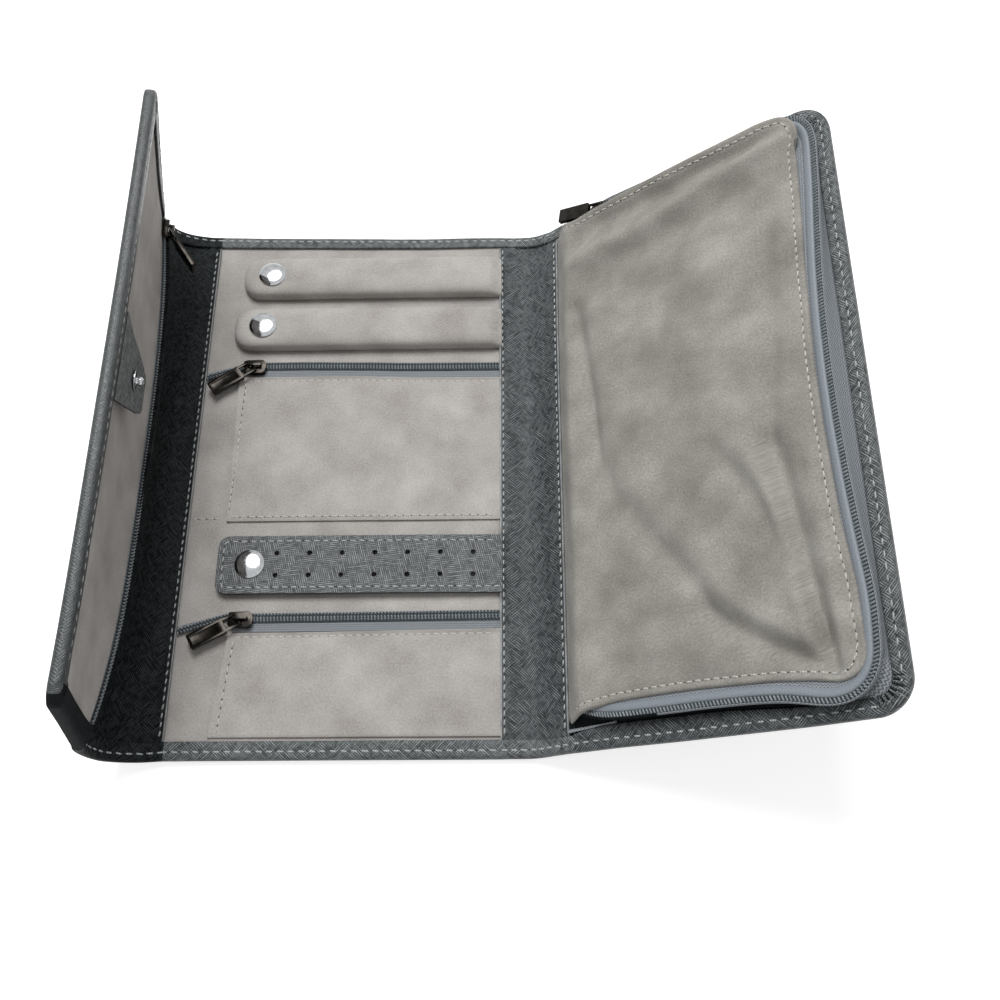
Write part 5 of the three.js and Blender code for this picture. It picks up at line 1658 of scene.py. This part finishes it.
def door_skin(s, y, d_far, edge):
    """Height of the door's suede at a point d_far from its far edge and edge from the nearest."""
    inward = min(1.0, edge / 16)
    height = 10.4 + 1.3 * math.sin(math.pi / 2 * inward) ** 0.8
    height += blend_list(DOOR_LIP, s) * math.exp(-(d_far / 8.5) ** 2)
    height += fold_height(s, y) * smooth(-1, 6, edge)
    return height + (0.4 * ripple(s, y, 30, 0.7) + 0.14 * ripple(s, y, 9, 1.7)) * inward


def door_point(u, v):
    """A point of the door's top face, its distance from the sewn edges, and how far the suede has
    risen from its root."""
    s = DOOR_ROOT + (DOOR_EDGE_S - DOOR_ROOT) * u
    into = min(max(0.0, s - (DOOR_EDGE_S - DOOR_CORNER)), DOOR_CORNER)
    draw = DOOR_CORNER - math.sqrt(DOOR_CORNER ** 2 - into ** 2)
    far, near = blend_list(DOOR_FAR, s) - draw, blend_list(DOOR_NEAR, s) + draw
    y = near + (far - near) * v
    outer = blend_list(DOOR_OUTER, y)
    s += (outer - DOOR_EDGE_S) * smooth(45, DOOR_EDGE_S, s)
    edge = max(0.0, min(far - y, y - near, outer - s))
    if s > outer - DOOR_CORNER and min(far - y, y - near) < DOOR_CORNER:
        edge = max(0.0, min(edge, (1 - u) * (DOOR_EDGE_S - DOOR_ROOT)))
    height = door_skin(s, y, far - y, edge)
    height += 0.35 * math.exp(-((edge - 0.9) / 0.7) ** 2) - 0.3 * math.exp(-((edge - 2.7) / 0.6) ** 2)
    root = smooth(DOOR_ROOT, 11.5, s) ** 0.9
    return s, y, DOOR_ROOT_H + (height - DOOR_ROOT_H) * root, edge, root


def door_grid():
    """Shares along and across the door, close together at its edges for the rim and the seam."""
    us = [0, 0.006, 0.013] + stations(0.022, 0.12, 12) + stations(0.133, 0.955, 66)
    us += [0.963, 0.970, 0.977, 0.983, 0.988, 0.993, 0.9975, 1.0]
    vs = [0, 0.0025, 0.006, 0.009, 0.0125, 0.016, 0.02, 0.025]
    return us, vs + stations(0.031, 0.969, 110) + [1 - v for v in vs[::-1]]


def door_seam():
    """Shares along the stitch line, 2.7 mm in from the door's edge, round its two free corners."""
    inset_u, inset_v = 2.7 / (DOOR_EDGE_S - DOOR_ROOT), 2.7 / 213
    corner_u, corner_v = 0.06, 0.032
    near = [(u, inset_v) for u in stations(corner_u, 1 - corner_u, 50)]
    for turn in stations(math.radians(80), math.radians(8), 9):
        near.append((1 - inset_u - corner_u + corner_u * math.cos(turn),
                     inset_v + corner_v * (1 - math.sin(turn)) ** 1.5))
    outer = [(1 - inset_u, v) for v in stations(0.045, 0.955, 80)]
    return near + outer + [(u, 1 - v) for u, v in near[::-1]]


def make_door():
    us, vs = door_grid()
    top, bottom = [], []
    for u in us:
        top.append([])
        bottom.append([])
        for v in vs:
            s, y, h, edge, root = door_point(u, v)
            rim = 0.35 if u == 1 or v in (0, 1) else 0.0
            thick = 1.0 + 0.8 * math.exp(-(edge / 2.2) ** 2) * root
            top[-1].append((CASE_FOLD + s, y, h - rim))
            bottom[-1].append((CASE_FOLD + s, y, h - thick + rim))
    door = slab("case_door_suede", top, bottom, RIGHT, 60)
    across = ("right_case", "case_door", RIGHT(CASE_FOLD + 2, 0, 4) * MM, RIGHT(CASE_FOLD + 13, 0, 4) * MM)
    dress(door, DOOR_SUEDE_FINISH, None, ["case_door_panel", "case_root_gusset"], across)
    path = []
    for u, v in door_seam():
        s, y, h = door_point(u, v)[:3]
        path.append((RIGHT(CASE_FOLD + s, y, h + 0.06), RIGHT.up(CASE_FOLD + s)))
    stitches("case_door_stitches", path, DOOR_THREAD, None, size=(2.2, 0.66, 0.5),
             pitch=3.3, across=across, mark=(0.42, 0.3))


# Stitching on the hems


def hem_path(side, fold_two, low, high, y):
    places = stations(low, high, max(4, int(abs(high - low) / 2)))
    return [(side(t, y, side_level(t, fold_two) + 0.95), side.up(t)) for t in places]


def make_hem_stitches():
    for word, y in (("far", HALF - 2.3), ("near", -HALF + 2.9)):
        path = [(middle_place(x, y, HEM_H + 0.95), UPRIGHT) for x in stations(-SEAM, SEAM, 60)]
        stitches(f"middle_{word}_hem_stitches", path, LEATHER_THREAD, "middle", pitch=3.9)
        for side, fold_two, first, second, name in (
                (RIGHT, CASE_FOLD, RIGHT_FIRST, RIGHT_SECOND, "right"),
                (LEFT, FLAP_FOLD, LEFT_FIRST, LEFT_SECOND, "left")):
            middle_t = (FOLD + fold_two) / 2
            for part, low, high, across in (("a", SEAM, middle_t, first),
                                            ("b", middle_t, fold_two + PANEL_START, second)):
                stitches(f"{name}_spine_{word}_stitches_{part}",
                         hem_path(side, fold_two, low, high, y), LEATHER_THREAD, None,
                         across=across)
    for side, start, edge, radius, body, name, inset, near in (
            (RIGHT, CASE_FOLD, CASE_EDGE, CASE_CORNER, "right_case", "case", 2.9, -HALF),
            (LEFT, FLAP_FOLD, FLAP_EDGE, FLAP_CORNER, "left_flap", "flap", 3.2, -HALF + 9)):
        path = [(side(t, y, HEM_H + 0.95), side.up(t))
                for t, y, _ in panel_outline(start + PANEL_START, edge, radius, inset) if y > near]
        stitches(f"{name}_hem_stitches", path, LEATHER_THREAD, body, pitch=4.1)


# Studio


def seen_plainly(tree):
    """1 for what the camera or a mirror looks at, and 0 for the light that falls on the object."""
    rays = add(tree, "LightPath").outputs
    return add(tree, "Math", rays["Is Camera Ray"], rays["Is Glossy Ray"], operation="MAXIMUM")


def make_world():
    world = bpy.data.worlds.new("studio")
    bpy.context.scene.world = world
    world.use_nodes = True
    tree = world.node_tree
    tree.nodes.clear()
    through = add(tree, "LightPath").outputs["Is Transmission Ray"]
    plain = add(tree, "Math", seen_plainly(tree), through, operation="MAXIMUM")
    strength = add(tree, "MapRange", plain, To_Min=0.38, To_Max=1.0)
    back = add(tree, "Background", Color=(1, 1, 1, 1), Strength=strength)
    add(tree, "OutputWorld", back)


def make_floor():
    """Matt pale paper, just under the organizer, that shows as white where no shadow falls."""
    side, level = 6, -0.0002
    mesh = bpy.data.meshes.new("floor")
    mesh.from_pydata([(-side, -side, level), (side, -side, level), (side, side, level),
                      (-side, side, level)], [], [(0, 1, 2, 3)])
    floor = bpy.data.objects.new("floor", mesh)
    bpy.context.scene.collection.objects.link(floor)
    material, tree, shader = finish("pale_paper", 0.9, Specular_IOR_Level=0.0,
                                    Base_Color=linear("e6e6e6"), Emission_Color=(1, 1, 1, 1))
    glow = add(tree, "Math", seen_plainly(tree), 0.66, operation="MULTIPLY")
    tree.links.new(glow.outputs[0], shader.inputs["Emission Strength"])
    floor.data.materials.append(material)


def make_lamps():
    """A soft key from behind the far end and a weak fill from the near left, in metres."""
    for name, place, size, power in (("key", (-0.1, 0.65, 1.4), 0.9, 19.0),
                                     ("fill", (-0.9, -0.7, 1.1), 1.2, 1.5)):
        lamp = bpy.data.lights.new(name, "AREA")
        lamp.shape = "DISK"
        lamp.size = size
        lamp.energy = power
        obj = bpy.data.objects.new(name, lamp)
        obj.location = place
        aim = Vector((0.03, 0, 0.03)) - Vector(place)
        obj.rotation_euler = aim.to_track_quat("-Z", "Y").to_euler()
        bpy.context.scene.collection.objects.link(obj)


bpy.context.scene.view_settings.view_transform = "Standard"
make_camera()
make_world()
make_floor()
make_lamps()
make_covers()
make_middle()
make_bands()
make_ring_bar("upper", -50.0, 92.0, 0.4)
make_ring_bar("lower", -52.0, 66.0, 3.9)
make_strap()
make_pocket_zip("upper", 46.8)
make_pocket_zip("lower", -63.6)
make_pockets()
make_flap()
make_tab()
make_case()
make_door()
make_hem_stitches()
make_sliders()
